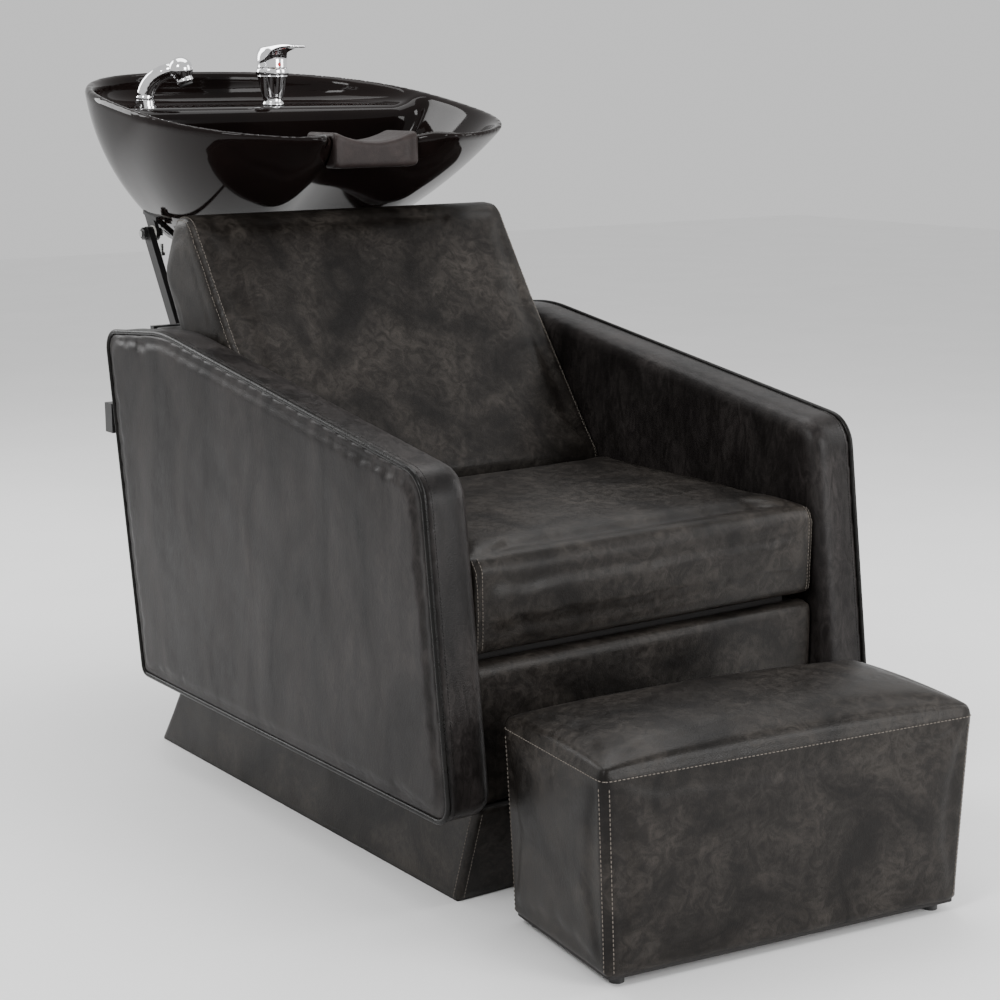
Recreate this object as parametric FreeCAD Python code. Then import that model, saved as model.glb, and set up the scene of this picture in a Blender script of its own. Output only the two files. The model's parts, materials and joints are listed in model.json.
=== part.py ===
import FreeCAD, Part
import math
import os

V = FreeCAD.Vector
X_AXIS = V(1, 0, 0)
Y_AXIS = V(0, 1, 0)
Z_AXIS = V(0, 0, 1)

# Shampoo backwash unit: a fixed armchair on a plinth, a tilting ceramic bowl behind it and a loose
# footstool in front. Millimetres, +Z up, the sitter faces -Y, origin on the floor under the plinth's centre.

# ---- driving dimensions: chair ----
OVERALL_WIDTH = 700.0
ARM_THICKNESS = 70.0
INNER_HALF = OVERALL_WIDTH / 2 - ARM_THICKNESS
CARCASS_BOTTOM = 127.0
PLY = 18.0
LEATHER = 2.5
GAP = 0.3
SEAT_BOTTOM = 320.0
SEAT_TOP = 446.0
SEAT_FRONT = -441.0
SEAT_REAR = 29.0
APRON_TOP = 311.0
APRON_FRONT = -440.0
SHELF_TOP = 648.0

# ---- driving dimensions: plinth ----
PLINTH_HALF_BOTTOM = 295.0
PLINTH_HALF_TOP = 283.0
PLINTH_BOTTOM_Y = (-416.0, 416.0)
PLINTH_TOP_Y = (-445.0, 342.0)

# ---- driving dimensions: bowl ----
BOWL_Y = 468.0
BOWL_HALF_WIDTH = 309.0
BOWL_FRONT_DEPTH = 303.0
BOWL_REAR_DEPTH = 307.0
BOWL_FRONT_POWER = 2.73
BOWL_REAR_POWER = 2.56
BOWL_KEEL_Z = 699.0
BOWL_BASE_Z = 742.0
BOWL_SHIFT = 145.0
BOWL_FRONT_TAPER = 84.0
RIM_Z = 980.6
RIM_SLOPE = 0.163
CERAMIC = 14.0
DECK_Z = 971.0
DECK_FRONT_Y = 545.0
DECK_THICK = 13.0
DECK_WALL_LEAN = 30.0
NECK_Y = 232.0
NECK_HALF = 95.0
NECK_CORNER = 45.0
SCOOP_AXIS = V(0, -0.84, 0.5426)
SCOOP_POINT = V(0, 232.0, 912.5)
SCOOP_RADIUS = 277.0
NECK_DIP_Z = 915.5
NECK_DIP_RADIUS = 170.0
DRAIN_Y = 525.0
DRAIN_HOLE_R = 24.0

BASIN_FLOOR_Z = BOWL_BASE_Z + CERAMIC
BOSS_Z = 736.0
BOSS_R = 36.0
TRAP_BOTTOM_Z = 640.0
TRAP_OUTLET_Z = 668.0
OUTLET_R = 16.0

# ---- driving dimensions: bowl stand and tilt pivot ----
PIVOT = V(0, 592.0, 775.0)
STRUT_X = 200.0
STRUT_THICK = 10.0
STRUT_WIDTH = 20.0
CROSSBAR_Y = (432.0, 456.0)
CROSSBAR_Z = (489.0, 534.0)
PIVOT_BOLT_R = 5.0
EAR_X = 192.0
EAR_THICK = 6.0
EAR_HALF = 12.0

# ---- driving dimensions: fittings ----
MIXER_AT = V(46.0, 620.0, DECK_Z)
SHANK_R = 16.0
SHANK_LENGTH = 52.0
INLET_R = 4.5
CARTRIDGE_R = 17.5
SOCKET_AT = V(-195.0, 600.0, DECK_Z)
SOCKET_THREAD_R = 13.0
HANDSET_STEM_R = 10.0
HANDSET_LEAN = V(0.735, -0.678, 0)
PAD_HALF = 75.0
PAD_THICK = 8.0
PAD_OUTER_FOOT_Z = 882.0
PAD_INNER_FOOT_Z = 886.0
PAD_REAR_Y = 312.0

# ---- driving dimensions: footstool ----
STOOL_SIZE = V(528.0, 239.0, 272.0)
STOOL_TAPER = V(13.0, 5.5, 0)
STOOL_AT = V(-40.0, -655.0, 12.0)
STOOL_TURN = -7.2


# ---- shape helpers ----
def box(x0, x1, y0, y1, z0, z1):
    return Part.makeBox(x1 - x0, y1 - y0, z1 - z0, V(x0, y0, z0))


def rod(base, axis, radius, length):
    return Part.makeCylinder(radius, length, base, axis)


def ring(base, axis, outer, inner, length):
    return rod(base, axis, outer, length).cut(rod(base, axis, inner, length))


def hexagon(base, axis, across_flats, length):
    """Hexagonal prism for bolt heads and nuts, standing on base along axis."""
    radius = across_flats / math.sqrt(3)
    corners = [V(radius * math.cos(math.pi / 3 * i), radius * math.sin(math.pi / 3 * i), 0) for i in range(7)]
    prism = Part.Face(Part.makePolygon(corners)).extrude(V(0, 0, length))
    prism.Placement = FreeCAD.Placement(base, FreeCAD.Rotation(Z_AXIS, axis))
    return prism


def mirror_x(shape):
    return shape.mirror(V(0, 0, 0), X_AXIS)


def rounded_outline(corners):
    """Closed wire in the YZ plane from (y, z, radius) corners, each corner turned by a tangent arc."""
    edges = []
    points = [V(0, y, z) for y, z, _ in corners]
    count = len(corners)
    ends = []
    for i, corner in enumerate(points):
        back = (points[i - 1] - corner).normalize()
        ahead = (points[(i + 1) % count] - corner).normalize()
        half = back.getAngle(ahead) / 2
        radius = corners[i][2]
        reach = radius / math.tan(half)
        middle = corner + (back + ahead).normalize() * (radius / math.sin(half) - radius)
        ends.append((corner + back * reach, middle, corner + ahead * reach))
    for i, (start, middle, end) in enumerate(ends):
        edges.append(Part.Arc(start, middle, end).toShape())
        edges.append(Part.LineSegment(end, ends[(i + 1) % count][0]).toShape())
    return Part.Wire(edges)


def prism_x(wire, x0, x1):
    face = Part.Face(wire)
    face.translate(V(x0, 0, 0))
    return face.extrude(V(x1 - x0, 0, 0))


def shrink(wire, distance):
    return wire.makeOffset2D(-distance)


def slab_between(bottom, top):
    """Loft between two closed wires."""
    return Part.makeLoft([bottom, top], True, True)


def rectangle(half_x, y0, y1, z):
    return Part.makePolygon(
        [V(-half_x, y0, z), V(half_x, y0, z), V(half_x, y1, z), V(-half_x, y1, z), V(-half_x, y0, z)]
    )


def save(node, *solids):
    """Write one node; repeated fasteners share a node as separate solids."""
    shape = solids[0] if len(solids) == 1 else Part.makeCompound(list(solids))
    shape.exportStep(os.path.join("parts", node + ".step"))


# ---- plinth and base ----
def plinth_block(inset, z0, z1):
    """The leaning plinth's block, pulled in by inset, between two heights."""
    def section(z):
        t = z / CARCASS_BOTTOM
        half = PLINTH_HALF_BOTTOM + (PLINTH_HALF_TOP - PLINTH_HALF_BOTTOM) * t - inset
        front = PLINTH_BOTTOM_Y[0] + (PLINTH_TOP_Y[0] - PLINTH_BOTTOM_Y[0]) * t + inset
        rear = PLINTH_BOTTOM_Y[1] + (PLINTH_TOP_Y[1] - PLINTH_BOTTOM_Y[1]) * t - inset
        return rectangle(half, front, rear, z)
    return slab_between(section(z0), section(z1))


def make_plinth():
    hollow = plinth_block(LEATHER + PLY, 0, CARCASS_BOTTOM)
    walls = plinth_block(LEATHER, 0, CARCASS_BOTTOM).cut(hollow)
    across = box(-400, 400, -380, 300, 0, CARCASS_BOTTOM)
    sides = walls.common(across)
    ends = walls.cut(across)
    cover = plinth_block(0, 2, CARCASS_BOTTOM).cut(plinth_block(LEATHER, 2, CARCASS_BOTTOM))
    brace = plinth_block(LEATHER + PLY, 0, CARCASS_BOTTOM).common(box(-400, 400, -9, 9, 0, CARCASS_BOTTOM))
    save("plinth_frame", *(sides.Solids + ends.Solids + [brace]))
    save("plinth_cover", cover)
    save("base_board", box(-INNER_HALF, INNER_HALF, -412, 330, CARCASS_BOTTOM, CARCASS_BOTTOM + PLY))


# ---- arms ----
ARM_CORNERS = [
    (358, CARCASS_BOTTOM, 16),
    (444, 646, 30),
    (255, 661, 300),
    (-433, 556, 48),
    (-487, CARCASS_BOTTOM, 30),
]
ARM_BOARD_INSET = 14.0
ARM_BOARD_X = INNER_HALF + GAP + 26
PIPING_R = 3.2


def crossbar_bolts():
    """Bolts that hold the rear crossbar on the rear edges of the two arm boards."""
    bolts = []
    for x in (-ARM_BOARD_X - PLY / 2, ARM_BOARD_X + PLY / 2):
        for z in (CROSSBAR_Z[0] + 11, CROSSBAR_Z[1] - 11):
            head = hexagon(V(x, CROSSBAR_Y[1], z), Y_AXIS, 13, 5.5)
            shank = rod(V(x, CROSSBAR_Y[0] - 60, z), Y_AXIS, 4, 60 + CROSSBAR_Y[1] - CROSSBAR_Y[0])
            bolts.append(head.fuse(shank))
    return bolts


def make_arms():
    outline = rounded_outline(ARM_CORNERS)
    x0, x1 = INNER_HALF + GAP, INNER_HALF + ARM_THICKNESS
    block = prism_x(outline, x0, x1)
    # the lining stands the leather's thickness inside the block and comes out through its underside
    lining = prism_x(shrink(outline, LEATHER), x0 + LEATHER, x1 - LEATHER)
    foot = prism_x(shrink(outline, 30), x0 + LEATHER, x1 - LEATHER)
    foot.translate(V(0, 0, -30))
    below = box(x0, x1, -600, 600, CARCASS_BOTTOM - 60, CARCASS_BOTTOM)
    cover = block.cut(lining.fuse(foot.common(box(x0, x1, -600, 600, CARCASS_BOTTOM - 60, 200))))
    filling = block.cut(cover).cut(below)
    board = prism_x(shrink(outline, ARM_BOARD_INSET), ARM_BOARD_X, ARM_BOARD_X + PLY)
    filling = filling.cut(board)
    # the welt is a round cord sewn round the outer edge, sunk a little into the corner
    welt_path = shrink(outline, PIPING_R)
    start = welt_path.Edges[0].valueAt(welt_path.Edges[0].FirstParameter)
    heading = welt_path.Edges[0].tangentAt(welt_path.Edges[0].FirstParameter)
    profile = Part.Wire(Part.makeCircle(PIPING_R, start, heading))
    welt = welt_path.makePipeShell([profile], True, False)
    welt.translate(V(x1 + 0.5, 0, 0))
    cover = cover.cut(welt)
    filling = filling.cut(welt)
    for bolt in crossbar_bolts():
        cover = cover.cut(bolt)
        filling = filling.cut(bolt)
        board = board.cut(bolt)
    for side, turn in (("right", mirror_x), ("left", lambda shape: shape)):
        save("arm_cover_" + side, turn(cover))
        save("arm_filling_" + side, turn(filling))
        save("arm_board_" + side, turn(board))
        save("arm_piping_" + side, turn(welt))


# ---- seat, apron and backrest ----
BACKREST_CORNERS = [
    (30.5, SEAT_BOTTOM + 6, 4),
    (30.5, 452, 30),
    (203, 682, 700),
    (300, 822, 34),
    (347, 822, 30),
    (393, 733, 36),
    (178, SEAT_BOTTOM + 6, 10),
]


def make_seat():
    half = INNER_HALF - GAP
    corners = [
        (SEAT_FRONT, SEAT_BOTTOM, 10),
        (SEAT_FRONT, SEAT_TOP - 12, 30),
        (-200, SEAT_TOP + 2, 500),
        (SEAT_REAR, SEAT_TOP, 20),
        (SEAT_REAR, SEAT_BOTTOM, 6),
    ]
    outline = rounded_outline(corners)
    block = prism_x(outline, -half, half)
    pocket = prism_x(shrink(outline, LEATHER), -half + LEATHER, half - LEATHER)
    mouth = box(-half + 25, half - 25, SEAT_FRONT + 25, SEAT_REAR - 25, SEAT_BOTTOM, SEAT_BOTTOM + 20)
    foam = pocket.fuse(mouth)
    save("seat_cover", block.cut(foam))
    save("seat_foam", foam)
    save("seat_board", box(-half + 20, half - 20, -400, 20, SEAT_BOTTOM - 15, SEAT_BOTTOM))
    rail = box(half - 40, half, -400, 20, SEAT_BOTTOM - 15 - 45, SEAT_BOTTOM - 15)
    save("seat_support_rails", rail, mirror_x(rail))


def make_apron():
    half = INNER_HALF - GAP
    corners = [
        (APRON_FRONT, CARCASS_BOTTOM, 12),
        (APRON_FRONT, APRON_TOP, 16),
        (APRON_FRONT + 28, APRON_TOP, 2),
        (APRON_FRONT + 28, CARCASS_BOTTOM, 2),
    ]
    save("front_apron", prism_x(rounded_outline(corners), -half, half))
    rail_front = APRON_FRONT + 28
    save("front_rail", box(-half, half, rail_front, rail_front + PLY, CARCASS_BOTTOM + PLY, SEAT_BOTTOM - 62))


def make_backrest():
    half = INNER_HALF - GAP
    outline = rounded_outline(BACKREST_CORNERS)
    block = prism_x(outline, -half, half)
    pocket = prism_x(shrink(outline, LEATHER), -half + LEATHER, half - LEATHER)
    lean = V(0, 393 - 178, 733 - SEAT_BOTTOM - 6).normalize()
    normal = V(0, lean.z, -lean.y)
    foot = V(0, 178, SEAT_BOTTOM + 6) + lean * 20
    length = 330.0
    # the board lies on the backrest's rear face, wholly inside the carcass
    board_face = Part.Face(
        Part.makePolygon(
            [foot, foot + lean * length, foot + lean * length + normal * 15, foot + normal * 15, foot]
        )
    )
    board_face.translate(V(-half + 12, 0, 0))
    board = board_face.extrude(V(2 * half - 24, 0, 0))
    window_face = Part.Face(
        Part.makePolygon(
            [
                foot + lean * 20 - normal * 8,
                foot + lean * (length - 20) - normal * 8,
                foot + lean * (length - 20),
                foot + lean * 20,
                foot + lean * 20 - normal * 8,
            ]
        )
    )
    window_face.translate(V(-half + 32, 0, 0))
    window = window_face.extrude(V(2 * half - 64, 0, 0))
    foam = pocket.fuse(window.common(block))
    save("backrest_cover", block.cut(foam))
    save("backrest_foam", foam)
    save("backrest_board", board)
    # two angle brackets carry the board on the arms' boards
    brackets = []
    for sign in (1, -1):
        at = foot + lean * 180 + normal * 15
        plate = box(-20, 20, 0, 3, -50, 50)
        flange = box(17, 20, 0, 45, -50, 50)
        bracket = plate.fuse(flange).removeSplitter()
        turn = FreeCAD.Rotation(X_AXIS, -math.degrees(math.atan2(lean.y, lean.z)))
        bracket.Placement = FreeCAD.Placement(V(sign * (half - 24), at.y, at.z), turn)
        brackets.append(bracket if sign > 0 else mirror_x(brackets[0]))
    save("backrest_brackets", *brackets)
    return board


# ---- rear closing panel and shelf ----
REAR_LEAN = V(0, 444 - 358, 646 - CARCASS_BOTTOM).normalize()


def rear_face_y(z, inset):
    """Where the carcass's rear plane, set in from the arms' rear edges, stands at height z."""
    return 358 + REAR_LEAN.y / REAR_LEAN.z * (z - CARCASS_BOTTOM) - inset


def make_rear(backrest_board):
    half = INNER_HALF - GAP
    low, high = CARCASS_BOTTOM + PLY, SHELF_TOP
    thick = 12.0
    side = Part.makePolygon(
        [
            V(-half, rear_face_y(low, 10), low),
            V(-half, rear_face_y(high, 10), high),
            V(-half, rear_face_y(high, 10) - thick, high),
            V(-half, rear_face_y(low, 10) - thick, low),
            V(-half, rear_face_y(low, 10), low),
        ]
    )
    panel = Part.Face(side).extrude(V(2 * half, 0, 0))
    screws = []
    for x in (-250, 0, 250):
        for z in (200, 400, 600):
            y = rear_face_y(z, 10)
            screws.append(rod(V(x, y - 8, z), Y_AXIS, 2.5, 8.0).fuse(rod(V(x, y - 0.5, z), Y_AXIS, 6, 2.6)))
    for screw in screws:
        panel = panel.cut(screw)
    shelf_rear = rear_face_y(SHELF_TOP - PLY, 10) - thick - 2.6
    shelf = box(-half, half, 339, shelf_rear, SHELF_TOP - PLY, SHELF_TOP)
    shelf = shelf.cut(prism_x(rounded_outline(BACKREST_CORNERS), -half, half)).cut(backrest_board)
    save("rear_panel", panel)
    save("rear_panel_screws", *screws)
    save("rear_shelf", shelf)


# ---- bowl stand ----
STRUT_FOOT = V(0, (CROSSBAR_Y[0] + CROSSBAR_Y[1]) / 2, CROSSBAR_Z[1])
STRUT_TURN = FreeCAD.Rotation(Z_AXIS, PIVOT - STRUT_FOOT)


def make_stand():
    y0, y1 = CROSSBAR_Y
    z0, z1 = CROSSBAR_Z
    half = OVERALL_WIDTH / 2 - 3
    wall = 2.0
    bar = box(-half, half, y0, y1, z0, z1).cut(box(-half, half, y0 + wall, y1 - wall, z0 + wall, z1 - wall))
    cap = box(half, half + 3, y0, y1, z0, z1).fuse(
        box(half - 12, half, y0 + wall, y1 - wall, z0 + wall, z1 - wall)
    )
    bolts = crossbar_bolts()
    for bolt in bolts:
        bar = bar.cut(bolt)
    # flat bar whose lower end is welded on the crossbar's top and whose rounded top carries the pivot
    x0, x1 = STRUT_X - STRUT_THICK / 2, STRUT_X + STRUT_THICK / 2
    blank = box(x0, x1, -STRUT_WIDTH / 2, STRUT_WIDTH / 2, -20, (PIVOT - STRUT_FOOT).Length)
    blank.Placement = FreeCAD.Placement(STRUT_FOOT, STRUT_TURN)
    end = rod(V(x0, PIVOT.y, PIVOT.z), X_AXIS, STRUT_WIDTH / 2 + 1, STRUT_THICK)
    strut = blank.fuse(end).removeSplitter()
    hole = rod(V(STRUT_X - 20, PIVOT.y, PIVOT.z), X_AXIS, PIVOT_BOLT_R + 0.1, 40)
    strut = strut.cut(hole).cut(box(0, 400, 350, 550, z0 - 60, z1))
    save("rear_crossbar", bar)
    save("crossbar_end_caps", cap, mirror_x(cap))
    save("crossbar_bolts", *bolts)
    save("strut_left", strut)
    save("strut_right", mirror_x(strut))


# ---- ceramic bowl ----
def rim_height(y):
    return RIM_Z + RIM_SLOPE * (y - BOWL_Y)


def flare(w):
    """Share of the rim's size that the bowl has at relative height w, 0 at the keel and 1 at the rim."""
    if w > 1:
        return 1 + 0.05 * (w - 1)
    return (w**0.545 + math.sin(math.pi / 2 * w**0.722)) / 2


def bowl_section(z, inset, count=40):
    """Closed smooth outline of the bowl at height z, pulled in by inset."""
    points = []
    for i in range(count):
        angle = 2 * math.pi * i / count
        c, s = math.cos(angle), math.sin(angle)
        front = s < 0
        power = BOWL_FRONT_POWER if front else BOWL_REAR_POWER
        depth = BOWL_FRONT_DEPTH if front else BOWL_REAR_DEPTH
        x = math.copysign(abs(c) ** (2 / power), c)
        y = math.copysign(abs(s) ** (2 / power), s)
        w = (z - BOWL_KEEL_Z) / (rim_height(BOWL_Y + depth * y) - BOWL_KEEL_Z)
        below = max(0.0, 1 - w)
        middle = BOWL_Y + BOWL_SHIFT * below
        half_x = BOWL_HALF_WIDTH * flare(w) - inset
        half_y = (depth - (BOWL_FRONT_TAPER * below if front else 0)) * flare(w) - inset
        points.append(V(half_x * x, middle + half_y * y, z))
    curve = Part.BSplineCurve()
    curve.interpolate(points, PeriodicFlag=True)
    return Part.Wire(curve.toShape())


def bowl_loft(levels, inset):
    return Part.makeLoft([bowl_section(z, inset) for z in levels], True, False)


def neck_notch(grow):
    """Upright notch with rounded rear corners that opens the front rim for the neck."""
    half = NECK_HALF + grow
    notch = box(-half, half, 60, NECK_Y + grow, 860, 1060)
    rear_edges = [e for e in notch.Edges if e.BoundBox.YMin > 70 and e.BoundBox.ZLength > 100]
    return notch.makeFillet(NECK_CORNER + grow, rear_edges)


def neck_scoop(grow):
    """The upright notch together with the scoop that runs on down the sloping front wall."""
    normal = V(0, -SCOOP_AXIS.z, SCOOP_AXIS.y)
    centre = SCOOP_POINT + normal * SCOOP_RADIUS
    return neck_notch(grow).fuse(rod(centre - SCOOP_AXIS * 260, SCOOP_AXIS, SCOOP_RADIUS + grow, 420))


def above_rim():
    """Everything above the sloping rim plane, with the round dip for the neck added."""
    y0, y1 = 100.0, 850.0
    side = Part.makePolygon(
        [V(-400, y0, rim_height(y0)), V(-400, y1, rim_height(y1)), V(-400, y1, 1200), V(-400, y0, 1200)]
        + [V(-400, y0, rim_height(y0))]
    )
    space = Part.Face(side).extrude(V(800, 0, 0))
    dip = rod(V(0, 100, NECK_DIP_Z + NECK_DIP_RADIUS), Y_AXIS, NECK_DIP_RADIUS, 220)
    return space.fuse(dip)


def under_deck(inset):
    """Space below the rear deck and behind the basin's leaning rear wall, pulled in by inset."""
    side = Part.makePolygon(
        [
            V(-400, DECK_FRONT_Y + inset, DECK_Z - inset),
            V(-400, 900, DECK_Z - inset),
            V(-400, 900, 600),
            V(-400, DECK_FRONT_Y + DECK_WALL_LEAN + inset, 600),
            V(-400, DECK_FRONT_Y + DECK_WALL_LEAN + inset, BASIN_FLOOR_Z),
            V(-400, DECK_FRONT_Y + inset, DECK_Z - inset),
        ]
    )
    return Part.Face(side).extrude(V(800, 0, 0))


def make_bowl():
    outer = bowl_loft([BOWL_BASE_Z, 765, 800, 845, 890, 935, 985, 1050], 0)
    inner = bowl_loft([BOWL_BASE_Z + CERAMIC, 785, 820, 865, 910, 955, 1005, 1055], CERAMIC)
    # the rear deck is a shelf with the basin's rear wall turned down from its front edge
    deck = under_deck(0).cut(under_deck(DECK_THICK))
    boss = rod(V(0, DRAIN_Y, BOSS_Z), Z_AXIS, BOSS_R, BASIN_FLOOR_Z - BOSS_Z)
    outer = outer.fuse(boss)
    basin = inner.cut(neck_scoop(CERAMIC)).cut(deck)
    service_hole = box(-75, 75, DECK_FRONT_Y + DECK_WALL_LEAN + DECK_THICK + 8, 665, 700, BASIN_FLOOR_Z + 30)
    shell = outer.cut(basin).cut(neck_scoop(0)).cut(above_rim()).cut(service_hole)
    shell = shell.cut(rod(V(0, DRAIN_Y, 700), Z_AXIS, DRAIN_HOLE_R, 100))
    shell = shell.cut(rod(MIXER_AT - Z_AXIS * 40, Z_AXIS, SHANK_R + 1, 60))
    shell = shell.cut(rod(SOCKET_AT - Z_AXIS * 40, Z_AXIS, SOCKET_THREAD_R + 0.5, 60))
    return outer, shell


def make_tilt_brackets(outer, shell):
    """Ear plates under the bowl that carry it on the pivot bolts, screwed up into the ceramic."""
    lowered = outer.copy()
    lowered.translate(V(0, 0, -EAR_THICK))
    y0, y1 = PIVOT.y - 10, PIVOT.y + 36
    flange = box(EAR_X - 42, EAR_X, y0, y1, 740, 900).cut(outer).common(lowered)
    ear = box(EAR_X - EAR_THICK, EAR_X, -EAR_HALF, EAR_HALF, 0, 90)
    ear.Placement = FreeCAD.Placement(PIVOT, STRUT_TURN)
    ear = ear.fuse(rod(V(EAR_X - EAR_THICK, PIVOT.y, PIVOT.z), X_AXIS, EAR_HALF, EAR_THICK)).cut(outer)
    bracket = flange.fuse(ear).removeSplitter()
    bracket = bracket.cut(rod(V(0, PIVOT.y, PIVOT.z), X_AXIS, PIVOT_BOLT_R + 0.1, 400))
    screws = []
    for y in (PIVOT.y, PIVOT.y + 26):
        x = EAR_X - 26
        under = bracket.common(rod(V(x, y, 700), Z_AXIS, 1, 250)).BoundBox.ZMin
        screw = hexagon(V(x, y, under - 6), Z_AXIS, 10, 5).fuse(rod(V(x, y, under - 1.5), Z_AXIS, 3, 14))
        screws.append(screw)
    for screw in screws:
        bracket = bracket.cut(screw)
    screws += [mirror_x(screw) for screw in screws]
    for screw in screws:
        shell = shell.cut(screw)
    save("bowl_shell", shell)
    save("tilt_bracket_left", bracket)
    save("tilt_bracket_right", mirror_x(bracket).cut(outer))
    save("bracket_screws", *screws)


def make_pivots():
    head = hexagon(V(EAR_X - EAR_THICK - 0.3, PIVOT.y, PIVOT.z), V(-1, 0, 0), 14, 6.5)
    shank = rod(V(EAR_X - EAR_THICK - 1, PIVOT.y, PIVOT.z), X_AXIS, PIVOT_BOLT_R, 30)
    bolt = head.fuse(shank)
    washer_thick = STRUT_X - STRUT_THICK / 2 - EAR_X - 0.3
    washer = ring(V(EAR_X + 0.3, PIVOT.y, PIVOT.z), X_AXIS, 12, PIVOT_BOLT_R, washer_thick)
    nut = hexagon(V(STRUT_X + STRUT_THICK / 2, PIVOT.y, PIVOT.z), X_AXIS, 17, 7).cut(bolt)
    save("pivot_bolts", bolt, mirror_x(bolt))
    save("friction_washers", washer, mirror_x(washer))
    save("pivot_nuts", nut, mirror_x(nut))


# ---- waste ----
def make_waste():
    at = V(0, DRAIN_Y, 0)
    floor = BASIN_FLOOR_Z
    tube_base = at + Z_AXIS * (BOSS_Z - 30)
    tube = ring(tube_base, Z_AXIS, DRAIN_HOLE_R - 0.5, DRAIN_HOLE_R - 3, floor + 30 - BOSS_Z)
    lip = ring(at + Z_AXIS * floor, Z_AXIS, DRAIN_HOLE_R + 5, DRAIN_HOLE_R - 3, 2.5)
    flange = tube.fuse(lip).removeSplitter()
    locknut = hexagon(at + Z_AXIS * (BOSS_Z - 9), Z_AXIS, 60, 9).cut(flange)
    locknut = locknut.cut(rod(at + Z_AXIS * (BOSS_Z - 30), Z_AXIS, DRAIN_HOLE_R - 0.5, 30))
    strainer = rod(at + Z_AXIS * (floor + 0.3 - 6), Z_AXIS, DRAIN_HOLE_R - 4, 6)
    dome = Part.makeSphere(30, at + Z_AXIS * (floor + 0.3 - 24))
    strainer = strainer.fuse(dome.common(rod(at + Z_AXIS * (floor + 0.3), Z_AXIS, DRAIN_HOLE_R - 4, 30)))
    strainer = strainer.removeSplitter()
    for count, radius in ((6, 8.0), (12, 14.5)):
        for i in range(count):
            angle = 2 * math.pi * i / count
            spot = at + V(radius * math.cos(angle), radius * math.sin(angle), floor - 20)
            strainer = strainer.cut(rod(spot, Z_AXIS, 1.6, 40))
    nut_z = BOSS_Z - 30
    trap_nut = ring(at + Z_AXIS * (nut_z - 14), Z_AXIS, 29, DRAIN_HOLE_R - 0.5, 18)
    for i in range(12):
        angle = 2 * math.pi * i / 12
        rib = V(29 * math.cos(angle), 29 * math.sin(angle), nut_z - 14)
        trap_nut = trap_nut.fuse(rod(at + rib, Z_AXIS, 2, 18))
    trap_nut = trap_nut.removeSplitter()
    neck = rod(at + Z_AXIS * (nut_z - 16), Z_AXIS, DRAIN_HOLE_R - 0.5, 16)
    bottle = rod(at + Z_AXIS * TRAP_BOTTOM_Z, Z_AXIS, 26, nut_z - 16 - TRAP_BOTTOM_Z)
    outlet = rod(V(0, DRAIN_Y, TRAP_OUTLET_Z), Y_AXIS, OUTLET_R, 62)
    shoulder = rod(V(0, DRAIN_Y, TRAP_OUTLET_Z), Y_AXIS, OUTLET_R + 4, 28)
    trap = neck.fuse(bottle).fuse(outlet).fuse(shoulder).removeSplitter()
    inside = rod(at + Z_AXIS * (TRAP_BOTTOM_Z + 3), Z_AXIS, 20, nut_z - TRAP_BOTTOM_Z)
    bore = rod(V(0, DRAIN_Y, TRAP_OUTLET_Z), Y_AXIS, OUTLET_R - 2.5, 70)
    trap = trap.cut(inside).cut(bore)
    save("drain_flange", flange)
    save("drain_locknut", locknut)
    save("drain_strainer", strainer)
    save("trap_nut", trap_nut)
    save("bottle_trap", trap)


# ---- mixer ----
def turned(at, profile):
    """Solid of revolution about the vertical through at, from (radius, height) points."""
    points = [V(at.x + r, at.y, at.z + h) for r, h in profile]
    return Part.Face(Part.makePolygon(points + [points[0]])).revolve(at, Z_AXIS, 360)


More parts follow.
